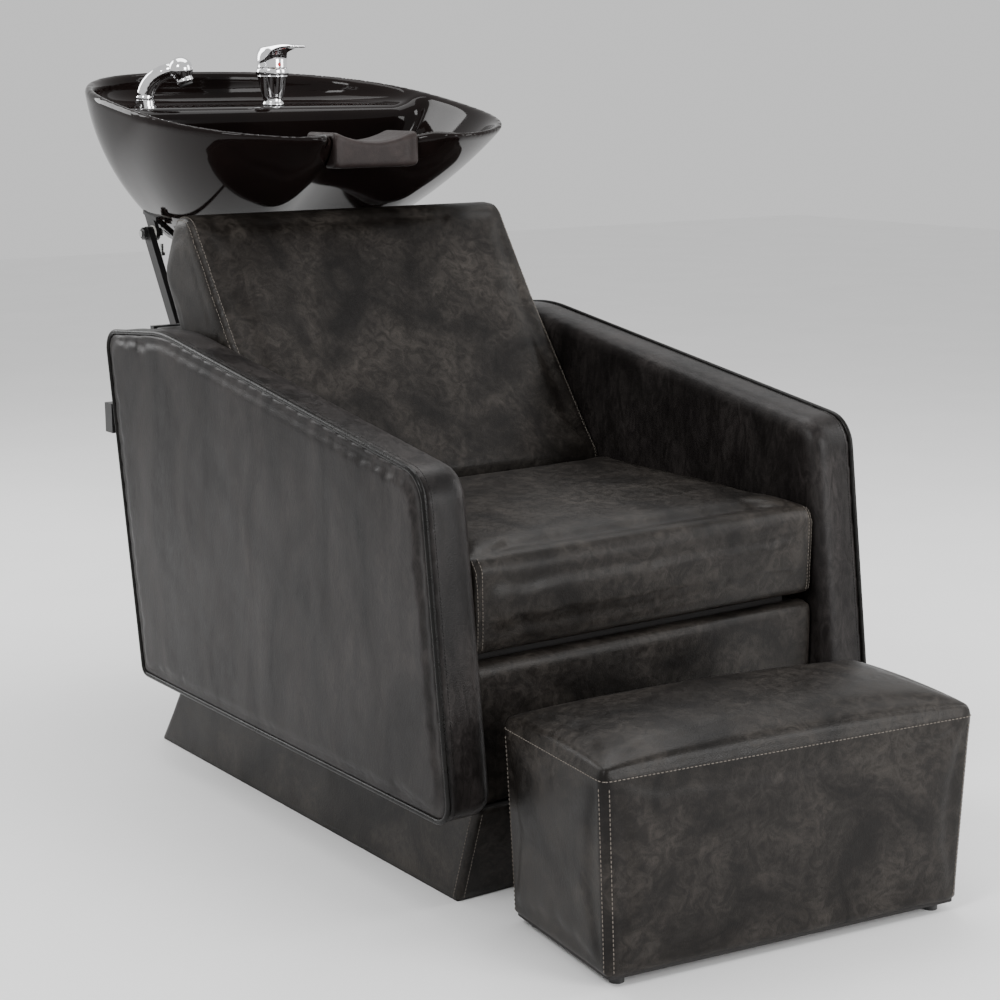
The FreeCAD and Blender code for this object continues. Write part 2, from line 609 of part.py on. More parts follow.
def make_mixer():
    at = MIXER_AT
    body = turned(at, [(0, 0), (18, 0), (18, 4), (16.6, 7), (20.5, 30), (24.8, 50), (0, 50)])
    body = body.cut(rod(at + Z_AXIS * 16, Z_AXIS, CARTRIDGE_R, 60))
    collar = ring(at + Z_AXIS * 50, Z_AXIS, 27, 25.2, 10)
    collar = collar.fuse(ring(at + Z_AXIS * 50, Z_AXIS, 27, CARTRIDGE_R, 1.5)).removeSplitter()
    cartridge = rod(at + Z_AXIS * 16, Z_AXIS, CARTRIDGE_R - 0.05, 34)
    spindle = rod(at + Z_AXIS * 50.3, Z_AXIS, 5, 16)
    spindle = spindle.fuse(rod(at + V(-10, 0, 65.3), X_AXIS, 3.5, 20)).removeSplitter()
    shank = rod(at - Z_AXIS * SHANK_LENGTH, Z_AXIS, SHANK_R, SHANK_LENGTH)
    for dx in (-7, 7):
        shank = shank.cut(rod(at + V(dx, 0, -SHANK_LENGTH), Z_AXIS, INLET_R, 22))
    nut = hexagon(at - Z_AXIS * (DECK_THICK + 10), Z_AXIS, 44, 10)
    nut = nut.cut(rod(at - Z_AXIS * 60, Z_AXIS, SHANK_R, 70))
    # hollow cap over the spindle with a blade that reaches forward over the basin
    cap = rod(at + Z_AXIS * 60.3, Z_AXIS, 24.5, 14)
    dome = Part.makeSphere(34, at + Z_AXIS * 60).common(rod(at + Z_AXIS * 74.3, Z_AXIS, 24.5, 30))
    blade_side = Part.Wire(
        [
            Part.makeLine(V(0, 18, 78), V(0, 12, 94)),
            Part.Arc(V(0, 12, 94), V(0, -40, 96), V(0, -98, 91)).toShape(),
            Part.makeLine(V(0, -98, 91), V(0, -97, 86)),
            Part.Arc(V(0, -97, 86), V(0, -60, 87), V(0, -22, 74)).toShape(),
            Part.makeLine(V(0, -22, 74), V(0, 18, 78)),
        ]
    )
    blade = prism_x(blade_side, -19, 19)
    plan = Part.makePolygon(
        [V(-19, 20, 60), V(19, 20, 60), V(11, -100, 60), V(-11, -100, 60), V(-19, 20, 60)]
    )
    blade = blade.common(Part.Face(plan).extrude(V(0, 0, 60)))
    blade.translate(at)
    lever = cap.fuse(dome).fuse(blade).removeSplitter()
    lever = lever.cut(rod(at + Z_AXIS * 50, Z_AXIS, 20, 21))
    dot = rod(at + V(0, -22, 67), V(0, -1, 0), 3, 3.2)
    lever = lever.cut(dot)
    save("mixer_body", body)
    save("mixer_collar", collar)
    save("mixer_cartridge", cartridge)
    save("mixer_shank", shank)
    save("mixer_fixing_nut", nut)
    save("cartridge_spindle", spindle)
    save("mixer_lever", lever)
    save("lever_indicator", dot)


# ---- hand shower ----
def make_handset():
    at = SOCKET_AT
    socket = rod(at, Z_AXIS, 19, 3).fuse(rod(at, Z_AXIS, 16, 11))
    socket = socket.fuse(rod(at - Z_AXIS * 34, Z_AXIS, SOCKET_THREAD_R, 36)).removeSplitter()
    socket = socket.cut(rod(at - Z_AXIS * 60, Z_AXIS, HANDSET_STEM_R + 0.3, 90))
    nut = hexagon(at - Z_AXIS * (DECK_THICK + 9), Z_AXIS, 36, 9).cut(
        rod(at - Z_AXIS * 60, Z_AXIS, SOCKET_THREAD_R, 70)
    )
    stem = rod(at - Z_AXIS * 30, Z_AXIS, HANDSET_STEM_R, 41.3)
    collar = rod(at + Z_AXIS * 11.3, Z_AXIS, 14, 6)
    reach = HANDSET_LEAN
    start = at + Z_AXIS * 16
    middle = at + reach * 17 + Z_AXIS * 44
    end = at + reach * 52 + Z_AXIS * 58
    path = Part.Wire([Part.Arc(start, middle, end).toShape()])
    heading = path.Edges[0].tangentAt(path.Edges[0].FirstParameter)
    grip = path.makePipeShell([Part.Wire(Part.makeCircle(11.5, start, heading))], True, False)
    knuckle = Part.makeSphere(11.5, start).common(rod(at + Z_AXIS * 11.3, Z_AXIS, 14, 30))
    handle = stem.fuse(collar).fuse(grip.common(rod(at + Z_AXIS * 11.3, Z_AXIS, 90, 90))).fuse(knuckle)
    handle = handle.removeSplitter()
    head_centre = at + reach * 60 + Z_AXIS * 60
    spray = (reach * 0.35 - Z_AXIS).normalize()
    head = Part.makeSphere(19, head_centre).fuse(rod(head_centre, spray, 12, 24))
    face = rod(head_centre + spray * 24, spray, 10.5, 2.5)
    handle = handle.cut(head)
    hose_end = rod(at - Z_AXIS * 100, Z_AXIS, 7, 70)
    save("handset_socket", socket)
    save("handset_socket_nut", nut)
    save("handset_handle", handle)
    save("handset_head", head.removeSplitter())
    save("handset_spray_face", face)
    save("handset_hose_end", hose_end)


# ---- neck pad ----
def make_neck_pad():
    """Soft saddle over the neck dip: a flap outside the rim and a plump wedge over the basin."""
    dip = V(0, 60, NECK_DIP_Z + NECK_DIP_RADIUS)
    resting = rod(dip, Y_AXIS, NECK_DIP_RADIUS - GAP, 300)
    hollow_top = rod(dip, Y_AXIS, NECK_DIP_RADIUS - PAD_THICK, 300)
    front_flap = neck_notch(-GAP).cut(neck_notch(-PAD_THICK))
    front_flap = front_flap.common(box(-PAD_HALF, PAD_HALF, 100, 350, PAD_OUTER_FOOT_Z, 990))
    wedge = box(-PAD_HALF, PAD_HALF, 120, PAD_REAR_Y, PAD_INNER_FOOT_Z, 990).cut(neck_scoop(CERAMIC + GAP))
    bridge = box(-PAD_HALF, PAD_HALF, 120, NECK_Y + 30, 880, 990).cut(neck_notch(-PAD_THICK)).common(resting)
    pad = front_flap.fuse(wedge).fuse(bridge).cut(hollow_top).removeSplitter()
    save("neck_pad", pad)


# ---- footstool ----
def stool_place(shape):
    placed = shape.copy()
    placed.rotate(V(0, 0, 0), Z_AXIS, STOOL_TURN)
    placed.translate(STOOL_AT)
    return placed


def stool_block(inset_x, inset_y, z0, z1):
    """Footstool body between two heights, its walls leaning in towards the floor."""
    outlines = []
    for z in (z0, z1):
        lean = 1 - z / STOOL_SIZE.z
        x = STOOL_SIZE.x / 2 - STOOL_TAPER.x * lean - inset_x
        y = STOOL_SIZE.y / 2 - STOOL_TAPER.y * lean - inset_y
        outlines.append(Part.makePolygon([V(-x, -y, z), V(x, -y, z), V(x, y, z), V(-x, y, z), V(-x, -y, z)]))
    return Part.makeLoft(outlines, True, True)


def make_stool():
    h = STOOL_SIZE.z
    pad_thick, wall = 32.0, 12.0
    top = h - LEATHER - pad_thick
    deep = LEATHER + wall
    block = stool_block(0, 0, 0, h)
    block = block.makeFillet(9, [edge for edge in block.Edges if edge.BoundBox.ZMax > 1])
    cavity = stool_block(LEATHER, LEATHER, 0, h - LEATHER)
    cavity = cavity.makeFillet(7, [edge for edge in cavity.Edges if edge.BoundBox.ZMax > 1])
    cover = block.cut(cavity)
    pad = cavity.common(box(-400, 400, -200, 200, top, h))
    lid = cavity.common(box(-400, 400, -200, 200, top - wall, top))
    walls = cavity.common(box(-400, 400, -200, 200, 0, top - wall))
    between_long_walls = stool_block(-50, deep, 0, top - wall)
    sides = walls.common(between_long_walls).cut(stool_block(deep, deep, 0, top - wall))
    ends = walls.cut(between_long_walls)
    glides = []
    foot_x = STOOL_SIZE.x / 2 - STOOL_TAPER.x - 24
    foot_y = STOOL_SIZE.y / 2 - STOOL_TAPER.y - 22
    for gx in (-foot_x, foot_x):
        for gy in (-foot_y, foot_y):
            block_top = box(gx - 16, gx + 16, gy - 14, gy + 14, 0, 20).cut(sides).cut(ends)
            foot = rod(V(gx, gy, -STOOL_AT.z), Z_AXIS, 9, STOOL_AT.z)
            glides.append(foot.fuse(block_top).removeSplitter())
    save("stool_cover", stool_place(cover))
    save("stool_pad", stool_place(pad))
    save("stool_frame", *[stool_place(solid) for solid in lid.Solids + sides.Solids + ends.Solids])
    save("stool_glides", *[stool_place(glide.cut(cover)) for glide in glides])


def main():
    os.makedirs("parts", exist_ok=True)
    make_plinth()
    make_arms()
    make_seat()
    make_apron()
    make_rear(make_backrest())
    make_stand()
    outer, shell = make_bowl()
    make_tilt_brackets(outer, shell)
    make_pivots()
    make_waste()
    make_mixer()
    make_handset()
    make_neck_pad()
    make_stool()


main()
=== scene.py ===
import json
import math

import bpy
import numpy as np
from mathutils import Matrix, Vector
from mathutils.bvhtree import BVHTree


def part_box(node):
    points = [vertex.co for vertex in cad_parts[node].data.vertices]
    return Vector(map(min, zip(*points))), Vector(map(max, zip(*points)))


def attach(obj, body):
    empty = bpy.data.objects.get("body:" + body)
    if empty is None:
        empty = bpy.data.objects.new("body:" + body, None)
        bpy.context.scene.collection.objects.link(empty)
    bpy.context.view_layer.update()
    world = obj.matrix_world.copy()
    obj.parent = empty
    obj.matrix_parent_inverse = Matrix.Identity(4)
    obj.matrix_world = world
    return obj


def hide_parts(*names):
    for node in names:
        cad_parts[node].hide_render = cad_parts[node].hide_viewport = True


# Looks of the shampoo backwash unit. Metres, +Z up, the sitter faces -Y, -X is the near arm.

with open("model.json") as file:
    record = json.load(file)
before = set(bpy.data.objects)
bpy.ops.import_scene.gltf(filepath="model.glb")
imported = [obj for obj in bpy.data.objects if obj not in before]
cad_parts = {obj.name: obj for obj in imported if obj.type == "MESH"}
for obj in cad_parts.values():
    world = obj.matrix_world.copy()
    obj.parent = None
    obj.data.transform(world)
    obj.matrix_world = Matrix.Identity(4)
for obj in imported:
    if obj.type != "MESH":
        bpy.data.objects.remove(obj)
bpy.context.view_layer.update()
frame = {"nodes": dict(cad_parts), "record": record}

# ---- driving dimensions, from the CAD part or within a few millimetres of it ----
OUTER = 0.350
CARCASS_Z = 0.127
ARM_CORNERS = [
    (0.358, 0.127, 0.016),
    (0.444, 0.646, 0.030),
    (0.255, 0.661, 0.300),
    (-0.433, 0.556, 0.048),
    (-0.487, 0.127, 0.030),
]
BACKREST_CORNERS = [
    (0.0305, 0.326, 0.004),
    (0.0305, 0.452, 0.030),
    (0.203, 0.682, 0.700),
    (0.300, 0.822, 0.034),
    (0.347, 0.822, 0.030),
    (0.393, 0.733, 0.036),
    (0.178, 0.326, 0.010),
]
SEAT_CORNERS = [
    (-0.441, 0.320, 0.012),
    (-0.441, 0.434, 0.034),
    (-0.200, 0.448, 0.500),
    (0.029, 0.446, 0.020),
    (0.029, 0.320, 0.008),
]
STOOL_SIZE = (0.528, 0.239)
STOOL_AT = (-0.040, -0.655, 0.012)
STOOL_TURN = math.radians(-7.2)
STOOL_SEAM = 0.250
STOOL_CROWN = 0.028
STOOL_TAPER = (0.045, 0.040)
PLINTH_HALF = 0.295
PLINTH_SIDE_LEAN = 0.012
PLINTH_END = 0.416
PLINTH_FRONT_LEAN = 0.029
PLINTH_REAR_LEAN = 0.074
BETWEEN_ARMS = 0.2797
BOWL_Y = 0.468
DECK_Z = 0.971
FLOOR_Z = 0.756
MIXER_AT = np.array([0.046, 0.620, DECK_Z])
SOCKET_AT = np.array([-0.195, 0.600, DECK_Z])
HANDSET_REACH = np.array([0.735, -0.678, 0.0])
CARTRIDGE_R = 0.0175
CUP_BORE = 0.0252
PAD_HALF = 0.074
PAD_REAR_Y = 0.3110
PAD_LOW_Z = 0.8845
PAD_THICKNESS = 0.0078
BOWL_HALF_WIDTH = 0.309
BOWL_HALF_DEPTH = 0.305
BOWL_WALL = 0.0125
DECK_THICKNESS = 0.013
KEEL_Z = 0.699
RIM_Z = 0.9806
RIM_SLOPE = 0.163
DRAIN_Y = 0.525
NECK_Y = 0.232
NECK_HALF = 0.095
NECK_CORNER = 0.045
NECK_DIP_Z = 0.9155
NECK_DIP_RADIUS = 0.170
SCOOP_Z = 0.9125
SCOOP_RADIUS = 0.277

# ---- cloth simulation of the cushions ----
CLOTH_PRESSURE = 4.0
CLOTH_FRAMES = 20


# ---- camera, light and floor ----
def place_camera():
    """The photograph's viewpoint: 35 degrees off the front, 11 degrees down, with a hint of roll."""
    yaw, pitch, roll = 0.6097438, 0.1983484, -0.0053738
    ahead = Vector((math.sin(yaw) * math.cos(pitch), math.cos(yaw) * math.cos(pitch), -math.sin(pitch)))
    right = Vector((math.cos(yaw), -math.sin(yaw), 0))
    up = right.cross(ahead)
    rolled_right = right * math.cos(roll) + up * math.sin(roll)
    rolled_up = up * math.cos(roll) - right * math.sin(roll)
    data = bpy.data.cameras.new("camera")
    data.sensor_width = 36
    data.lens = 76.411
    camera = bpy.data.objects.new("camera", data)
    turn = Matrix((rolled_right, rolled_up, -ahead)).transposed()
    camera.matrix_world = Matrix.Translation((-1.689205, -2.511439, 1.021652)) @ turn.to_4x4()
    bpy.context.collection.objects.link(camera)
    bpy.context.scene.camera = camera


def area_light(name, at, target, size, power):
    data = bpy.data.lights.new(name, "AREA")
    data.shape = "RECTANGLE"
    data.size, data.size_y = size
    data.energy = power
    light = bpy.data.objects.new(name, data)
    light.location = at
    light.rotation_euler = (Vector(target) - Vector(at)).to_track_quat("-Z", "Y").to_euler()
    bpy.context.collection.objects.link(light)


def light_studio():
    world = bpy.data.worlds.new("studio")
    world.use_nodes = True
    background = world.node_tree.nodes["Background"]
    background.inputs["Color"].default_value = (1, 1, 1, 1)
    background.inputs["Strength"].default_value = 0.80
    bpy.context.scene.world = world
    area_light("key", (-2.6, -1.2, 2.7), (0, 0, 0.5), (0.9, 0.9), 50)
    area_light("top", (0.3, 0.6, 3.0), (0, 0, 0.5), (2.4, 1.6), 55)
    area_light("side", (2.8, -1.4, 1.7), (0, 0, 0.5), (1.2, 2.0), 45)
    area_light("front", (1.0, -3.4, 1.3), (0, 0, 0.35), (1.4, 1.4), 70)
    area_light("back", (-1.2, 2.6, 1.8), (0, 0.2, 0.6), (1.0, 1.8), 40)


# ---- node materials ----
class Shader:
    """Small helper to write a node material as a few calls."""

    def __init__(self, name):
        self.material = bpy.data.materials.new(name)
        self.material.use_nodes = True
        self.tree = self.material.node_tree
        self.surface = self.tree.nodes["Principled BSDF"]
        self.place = self.node("ShaderNodeTexCoord").outputs["Object"]

    def node(self, kind, settings=(), **inputs):
        made = self.tree.nodes.new(kind)
        for key, value in dict(settings).items():
            setattr(made, key, value)
        for key, value in inputs.items():
            self.feed(made.inputs[key.replace("_", " ")], value)
        return made

    def feed(self, socket, value):
        if isinstance(value, bpy.types.NodeSocket):
            self.tree.links.new(value, socket)
        else:
            socket.default_value = value

    def set(self, **inputs):
        for key, value in inputs.items():
            self.feed(self.surface.inputs[key.replace("_", " ")], value)

    def scaled(self, scale):
        return self.node("ShaderNodeMapping", Vector=self.place, Scale=scale).outputs["Vector"]

    def noise(self, scale, detail=4.0, roughness=0.55, distortion=0.0, at=None):
        made = self.node(
            "ShaderNodeTexNoise",
            Vector=at or self.place,
            Scale=scale,
            Detail=detail,
            Roughness=roughness,
            Distortion=distortion,
        )
        return made.outputs["Fac"]

    def cells(self, scale, feature="F1"):
        made = self.node("ShaderNodeTexVoronoi", {"feature": feature}, Vector=self.place, Scale=scale)
        return made.outputs["Distance"]

    def ramp(self, value, stops):
        made = self.node("ShaderNodeValToRGB", Fac=value)
        points = made.color_ramp.elements
        while len(points) < len(stops):
            points.new(0.5)
        for point, (position, colour) in zip(points, stops):
            point.position = position
            point.color = (*colour, 1) if len(colour) == 3 else colour
        return made.outputs["Color"]

    def grey(self, value, low, high, start=0.0, end=1.0):
        made = self.node("ShaderNodeMapRange", Value=value)
        for key, number in (("From Min", start), ("From Max", end), ("To Min", low), ("To Max", high)):
            made.inputs[key].default_value = number
        return made.outputs["Result"]

    def sum(self, a, b, kind="ADD"):
        made = self.node("ShaderNodeMath", {"operation": kind})
        self.feed(made.inputs[0], a)
        self.feed(made.inputs[1], b)
        return made.outputs[0]

    def mix(self, factor, a, b, kind="MIX"):
        made = self.node("ShaderNodeMix", {"data_type": "RGBA", "blend_type": kind})
        self.feed(made.inputs[0], factor)
        self.feed(made.inputs[6], a)
        self.feed(made.inputs[7], b)
        return made.outputs[2]

    def bump(self, *layers):
        """Each layer is (height, strength, distance); later layers ride on the earlier ones."""
        normal = None
        for height, strength, distance in layers:
            made = self.node("ShaderNodeBump", Height=height, Strength=strength, Distance=distance)
            if normal:
                self.feed(made.inputs["Normal"], normal)
            normal = made.outputs["Normal"]
        self.set(Normal=normal)


def leather(name, dark, light, streak=(1.0, 1.0, 1.0), rough=(0.30, 0.46), patch=9.0):
    """Distressed faux leather: cloudy wear, pale crazing, pores and slow hand-worked dents."""
    s = Shader(name)
    at = s.scaled(streak)
    clouds = s.noise(patch, 7.0, 0.60, 0.9, at)
    fleck = s.noise(patch * 5, 8.0, 0.68, 1.6, at)
    worn = s.sum(s.grey(clouds, 0, 1, 0.36, 0.68), s.grey(fleck, 0, 0.9, 0.42, 0.74), "MULTIPLY")
    vein = s.noise(patch * 2.3, 6.0, 0.7, 2.4, at)
    line = s.grey(s.sum(s.sum(vein, 0.5, "SUBTRACT"), 0.0, "ABSOLUTE"), 0.30, 0.0, 0.0, 0.018)
    tone = s.sum(s.sum(worn, s.grey(clouds, 0.0, 0.30, 0.3, 0.7)), s.sum(line, clouds, "MULTIPLY"))
    middle = tuple(0.5 * (d + l) for d, l in zip(dark, light))
    s.set(Base_Color=s.ramp(tone, [(0.0, dark), (0.45, middle), (1.0, light)]))
    s.set(Roughness=s.grey(fleck, *rough, 0.3, 0.7))
    s.set(Specular_IOR_Level=0.16)
    pores = s.cells(780.0)
    creases = s.cells(170.0, "DISTANCE_TO_EDGE")
    s.bump(
        (s.noise(7.0, 2.0, 0.5), 0.35, 0.010),
        (s.grey(creases, 0, 1, 0.0, 0.12), 0.10, 0.0006),
        (pores, 0.22, 0.0005),
    )
    return s.material


def thread():
    s = Shader("stitch_thread")
    ply = s.noise(1400.0, 2.0, 0.5)
    tone = s.ramp(ply, [(0.3, (0.075, 0.064, 0.054)), (0.7, (0.17, 0.148, 0.125))])
    s.set(Base_Color=tone, Roughness=0.75)
    s.bump((ply, 0.5, 0.0003))
    return s.material


def ceramic():
    """Thick black glaze with a trace of brown and a barely uneven surface."""
    s = Shader("bowl_ceramic")
    pool = s.noise(5.0, 3.0, 0.5)
    s.set(Base_Color=s.ramp(pool, [(0.3, (0.0042, 0.0028, 0.0026)), (0.7, (0.0085, 0.0055, 0.0050))]))
    s.set(Roughness=s.grey(s.noise(40.0), 0.045, 0.075), IOR=1.22)
    s.bump((s.noise(26.0, 2.0), 0.04, 0.0006))
    return s.material


def metal(name, colour, rough, scratch=0.02, grain=(60.0, 60.0, 60.0)):
    s = Shader(name)
    wipe = s.noise(1.0, 5.0, 0.6, 0.0, s.scaled(grain))
    dim = tuple(0.90 * c for c in colour)
    s.set(Base_Color=s.ramp(wipe, [(0.3, dim), (0.7, colour)]), Metallic=1.0)
    s.set(Roughness=s.grey(wipe, rough, rough + 0.08, 0.3, 0.7))
    s.bump((wipe, scratch, 0.0004))
    return s.material


def moulded(name, dark, light, rough, grain=420.0, strength=0.12):
    """Moulded plastic, rubber or powder coat: fine orange peel and slight colour drift."""
    s = Shader(name)
    drift = s.noise(18.0, 4.0, 0.6)
    s.set(Base_Color=s.ramp(drift, [(0.3, dark), (0.7, light)]))
    s.set(Roughness=s.grey(drift, rough - 0.05, rough + 0.07, 0.3, 0.7))
    s.bump((s.noise(grain, 2.0), strength, 0.0004))
    return s.material


def plywood():
    s = Shader("plywood")
    veneer = s.node(
        "ShaderNodeTexWave",
        {"bands_direction": "Z", "wave_type": "BANDS"},
        Vector=s.place,
        Scale=210.0,
        Distortion=1.2,
        Detail=3.0,
    ).outputs["Fac"]
    grain = s.noise(3.0, 6.0, 0.6, 0.4, s.scaled((4.0, 26.0, 26.0)))
    face = s.ramp(grain, [(0.3, (0.36, 0.22, 0.11)), (0.7, (0.58, 0.41, 0.24))])
    s.set(Base_Color=s.mix(s.grey(veneer, 0.0, 0.35), face, (0.22, 0.13, 0.07, 1)), Roughness=0.62)
    s.bump((grain, 0.2, 0.0006))
    return s.material


def make_materials():
    dark, light = (0.0034, 0.0027, 0.0023), (0.040, 0.0345, 0.0300)
    side_dark, side_light = (0.0040, 0.0033, 0.0032), (0.034, 0.0295, 0.0280)
    # The welt leather is painted much darker than the cushion leather: painted shade for piping that faces
    # away from the light.
    welt_painted_shade_dark, welt_painted_shade_light = (0.003, 0.0028, 0.0026), (0.012, 0.011, 0.010)
    pad_dark, pad_light = (0.016, 0.0115, 0.011), (0.040, 0.030, 0.028)
    steel_dark, steel_light = (0.007, 0.007, 0.007), (0.014, 0.013, 0.013)
    # The dark plywood's colour is partly its own black stain and partly painted shade for the board seen in
    # the gap under the seat cushion.
    wood_stain_and_shade_dark, wood_stain_and_shade_light = (0.006, 0.005, 0.005), (0.012, 0.010, 0.009)
    return {
        "leather": leather("leather", dark, light),
        "leather_side": leather("leather_side", side_dark, side_light, (1.6, 1.3, 0.55)),
        "leather_welt": leather("leather_welt", welt_painted_shade_dark, welt_painted_shade_light, rough=(0.24, 0.34)),
        "thread": thread(),
        "bowl_ceramic": ceramic(),
        "chrome": metal("chrome", (0.86, 0.86, 0.87), 0.03, 0.01),
        "zinc_steel": metal("zinc_steel", (0.55, 0.56, 0.55), 0.30, 0.15),
        "brass": metal("brass", (0.72, 0.52, 0.24), 0.24, 0.12),
        "black_steel": moulded("black_steel", steel_dark, steel_light, 0.36, 520.0, 0.10),
        "black_plastic": moulded("black_plastic", (0.010, 0.010, 0.010), (0.020, 0.020, 0.020), 0.45),
        "white_plastic": moulded("white_plastic", (0.62, 0.62, 0.60), (0.74, 0.74, 0.72), 0.32),
        "neck_rubber": leather("neck_rubber", pad_dark, pad_light, rough=(0.36, 0.50)),
        "indicator": moulded("indicator", (0.45, 0.015, 0.015), (0.60, 0.025, 0.020), 0.20),
        "nylon": moulded("nylon", (0.60, 0.59, 0.55), (0.72, 0.71, 0.67), 0.45),
        "foam": moulded("foam", (0.50, 0.44, 0.30), (0.68, 0.62, 0.46), 0.85, 260.0, 0.6),
        "plywood": plywood(),
        "dark_plywood": moulded("dark_plywood", wood_stain_and_shade_dark, wood_stain_and_shade_light, 0.8, 90.0, 0.3),
    }


# ---- mesh helpers ----
def mesh_object(name, points, faces, material, smooth=True):
    mesh = bpy.data.meshes.new(name)
    mesh.from_pydata([tuple(p) for p in points], [], [tuple(int(i) for i in f) for f in faces])
    mesh.materials.append(material)
    mesh.polygons.foreach_set("use_smooth", [smooth] * len(mesh.polygons))
    mesh.update()
    obj = bpy.data.objects.new(name, mesh)
    bpy.context.collection.objects.link(obj)
    return obj


def coords(obj):
    flat = np.empty(len(obj.data.vertices) * 3)
    obj.data.vertices.foreach_get("co", flat)
    return flat.reshape(-1, 3)


def normals(obj):
    flat = np.empty(len(obj.data.vertices) * 3)
    obj.data.vertices.foreach_get("normal", flat)
    return flat.reshape(-1, 3)


def write_coords(obj, points):
    obj.data.vertices.foreach_set("co", np.asarray(points, float).ravel())
    obj.data.update()


def bake_modifiers(obj):
    """Replace the mesh by its evaluated result and drop the modifiers."""
    graph = bpy.context.evaluated_depsgraph_get()
    mesh = bpy.data.meshes.new_from_object(obj.evaluated_get(graph))
    obj.modifiers.clear()
    obj.data = mesh
    mesh.polygons.foreach_set("use_smooth", [True] * len(mesh.polygons))


def rounded(corners, arc_points=7, spacing=0.02):
    """Closed outline of (y, z) points from (y, z, radius) corners."""
    points = np.array([c[:2] for c in corners])
    ends = []
    for i, corner in enumerate(points):
        back = points[i - 1] - corner
        ahead = points[(i + 1) % len(points)] - corner
        back /= np.linalg.norm(back)
        ahead /= np.linalg.norm(ahead)
        half = math.acos(np.clip(back @ ahead, -1, 1)) / 2
        radius = corners[i][2]
        middle = back + ahead
        centre = corner + middle / np.linalg.norm(middle) * radius / math.sin(half)
        first = corner + back * radius / math.tan(half)
        last = corner + ahead * radius / math.tan(half)
        a0 = math.atan2(*(first - centre)[::-1])
        a1 = math.atan2(*(last - centre)[::-1])
        sweep = (a1 - a0 + math.pi) % (2 * math.pi) - math.pi
        turn = [a0 + sweep * t for t in np.linspace(0, 1, arc_points)]
        ends.append(np.array([centre + radius * np.array([math.cos(a), math.sin(a)]) for a in turn]))
    outline = []
    for i, arc in enumerate(ends):
        outline.extend(arc)
        gap = ends[(i + 1) % len(ends)][0] - arc[-1]
        count = int(np.linalg.norm(gap) / spacing)
        outline.extend(arc[-1] + gap * k / (count + 1) for k in range(1, count + 1))
    return np.array(outline)


def closed(outline):
    """Outline with its first point repeated at the end."""
    return np.vstack([outline, outline[:1]])


def shrink(outline, distance):
    """Outline moved inwards by distance along its own normals."""
    tangent = np.roll(outline, -1, 0) - np.roll(outline, 1, 0)
    tangent /= np.linalg.norm(tangent, axis=1)[:, None]
    area = np.sum(outline[:, 0] * np.roll(outline[:, 1], -1) - np.roll(outline[:, 0], -1) * outline[:, 1])
    inward = np.stack([-tangent[:, 1], tangent[:, 0]], 1) * math.copysign(1, area)
    return outline + inward * distance


def rounded_prism(name, outline, x0, x1, r0, r1, material):
    """Outline in YZ run from x0 to x1, its two end edges rounded by r0 and r1."""
    quarter = np.linspace(0, math.pi / 2, 6)
    stations = [(x0 + r0 * (1 - math.sin(t)), r0 * (1 - math.cos(t))) for t in quarter[::-1]]
    stations += [(x1 - r1 * (1 - math.sin(t)), r1 * (1 - math.cos(t))) for t in quarter]
    points, faces, count = [], [], len(outline)
    for x, inset in stations:
        points.extend((x, y, z) for y, z in shrink(outline, inset))
    for ring in range(len(stations) - 1):
        a, b = ring * count, (ring + 1) * count
        faces.extend((a + i, a + (i + 1) % count, b + (i + 1) % count, b + i) for i in range(count))
    last = (len(stations) - 1) * count
    faces.append(list(range(count))[::-1])
    faces.append([last + i for i in range(count)])
    return mesh_object(name, points, faces, material)


def remesh(obj, voxel):
    modifier = obj.modifiers.new("remesh", "REMESH")
    modifier.mode = "VOXEL"
    modifier.voxel_size = voxel
    bake_modifiers(obj)


def relax(obj, rounds, keep=None):
    """Even out the surface; points where keep is 1 stay put."""
    edges = np.empty(len(obj.data.edges) * 2, int)
    obj.data.edges.foreach_get("vertices", edges)
    a, b = edges.reshape(-1, 2).T
    points = coords(obj)
    degree = np.bincount(np.concatenate([a, b]), minlength=len(points))[:, None]
    hold = 0.0 if keep is None else keep[:, None]
    for _ in range(rounds):
        total = np.zeros_like(points)
        for axis in range(3):
            ahead = np.bincount(a, points[b, axis], len(points))
            total[:, axis] = ahead + np.bincount(b, points[a, axis], len(points))
        points = points + (total / degree - points) * 0.5 * (1 - hold)
    write_coords(obj, points)


def inflate(obj, cap, smooth=3):
    """Cloth with air pressure inside; no point moves further than cap."""
    start = coords(obj)
    cloth = obj.modifiers.new("cloth", "CLOTH")
    cloth.settings.quality = 4
    cloth.settings.mass = 0.25
    cloth.settings.tension_stiffness = 12
    cloth.settings.compression_stiffness = 12
    cloth.settings.bending_stiffness = 0.8
    cloth.settings.use_pressure = True
    cloth.settings.uniform_pressure_force = CLOTH_PRESSURE
    cloth.settings.effector_weights.gravity = 0
    cloth.point_cache.frame_start = 1
    cloth.point_cache.frame_end = CLOTH_FRAMES
    scene = bpy.context.scene
    for number in range(1, CLOTH_FRAMES + 1):
        scene.frame_set(number)
    graph = bpy.context.evaluated_depsgraph_get()
    shaped = obj.evaluated_get(graph).to_mesh()
    flat = np.empty(len(shaped.vertices) * 3)
    shaped.vertices.foreach_get("co", flat)
    move = flat.reshape(-1, 3) - start
    facing = normals(obj)
    move -= facing * np.minimum((move * facing).sum(1), 0)[:, None]
    length = np.linalg.norm(move, axis=1)[:, None] + 1e-9
    obj.modifiers.clear()
    scene.frame_set(1)
    write_coords(obj, start + move / length * cap * np.tanh(length / cap))
    relax(obj, smooth)


def subdivide(obj):
    modifier = obj.modifiers.new("subdivision", "SUBSURF")
    modifier.levels = modifier.render_levels = 1
    bake_modifiers(obj)


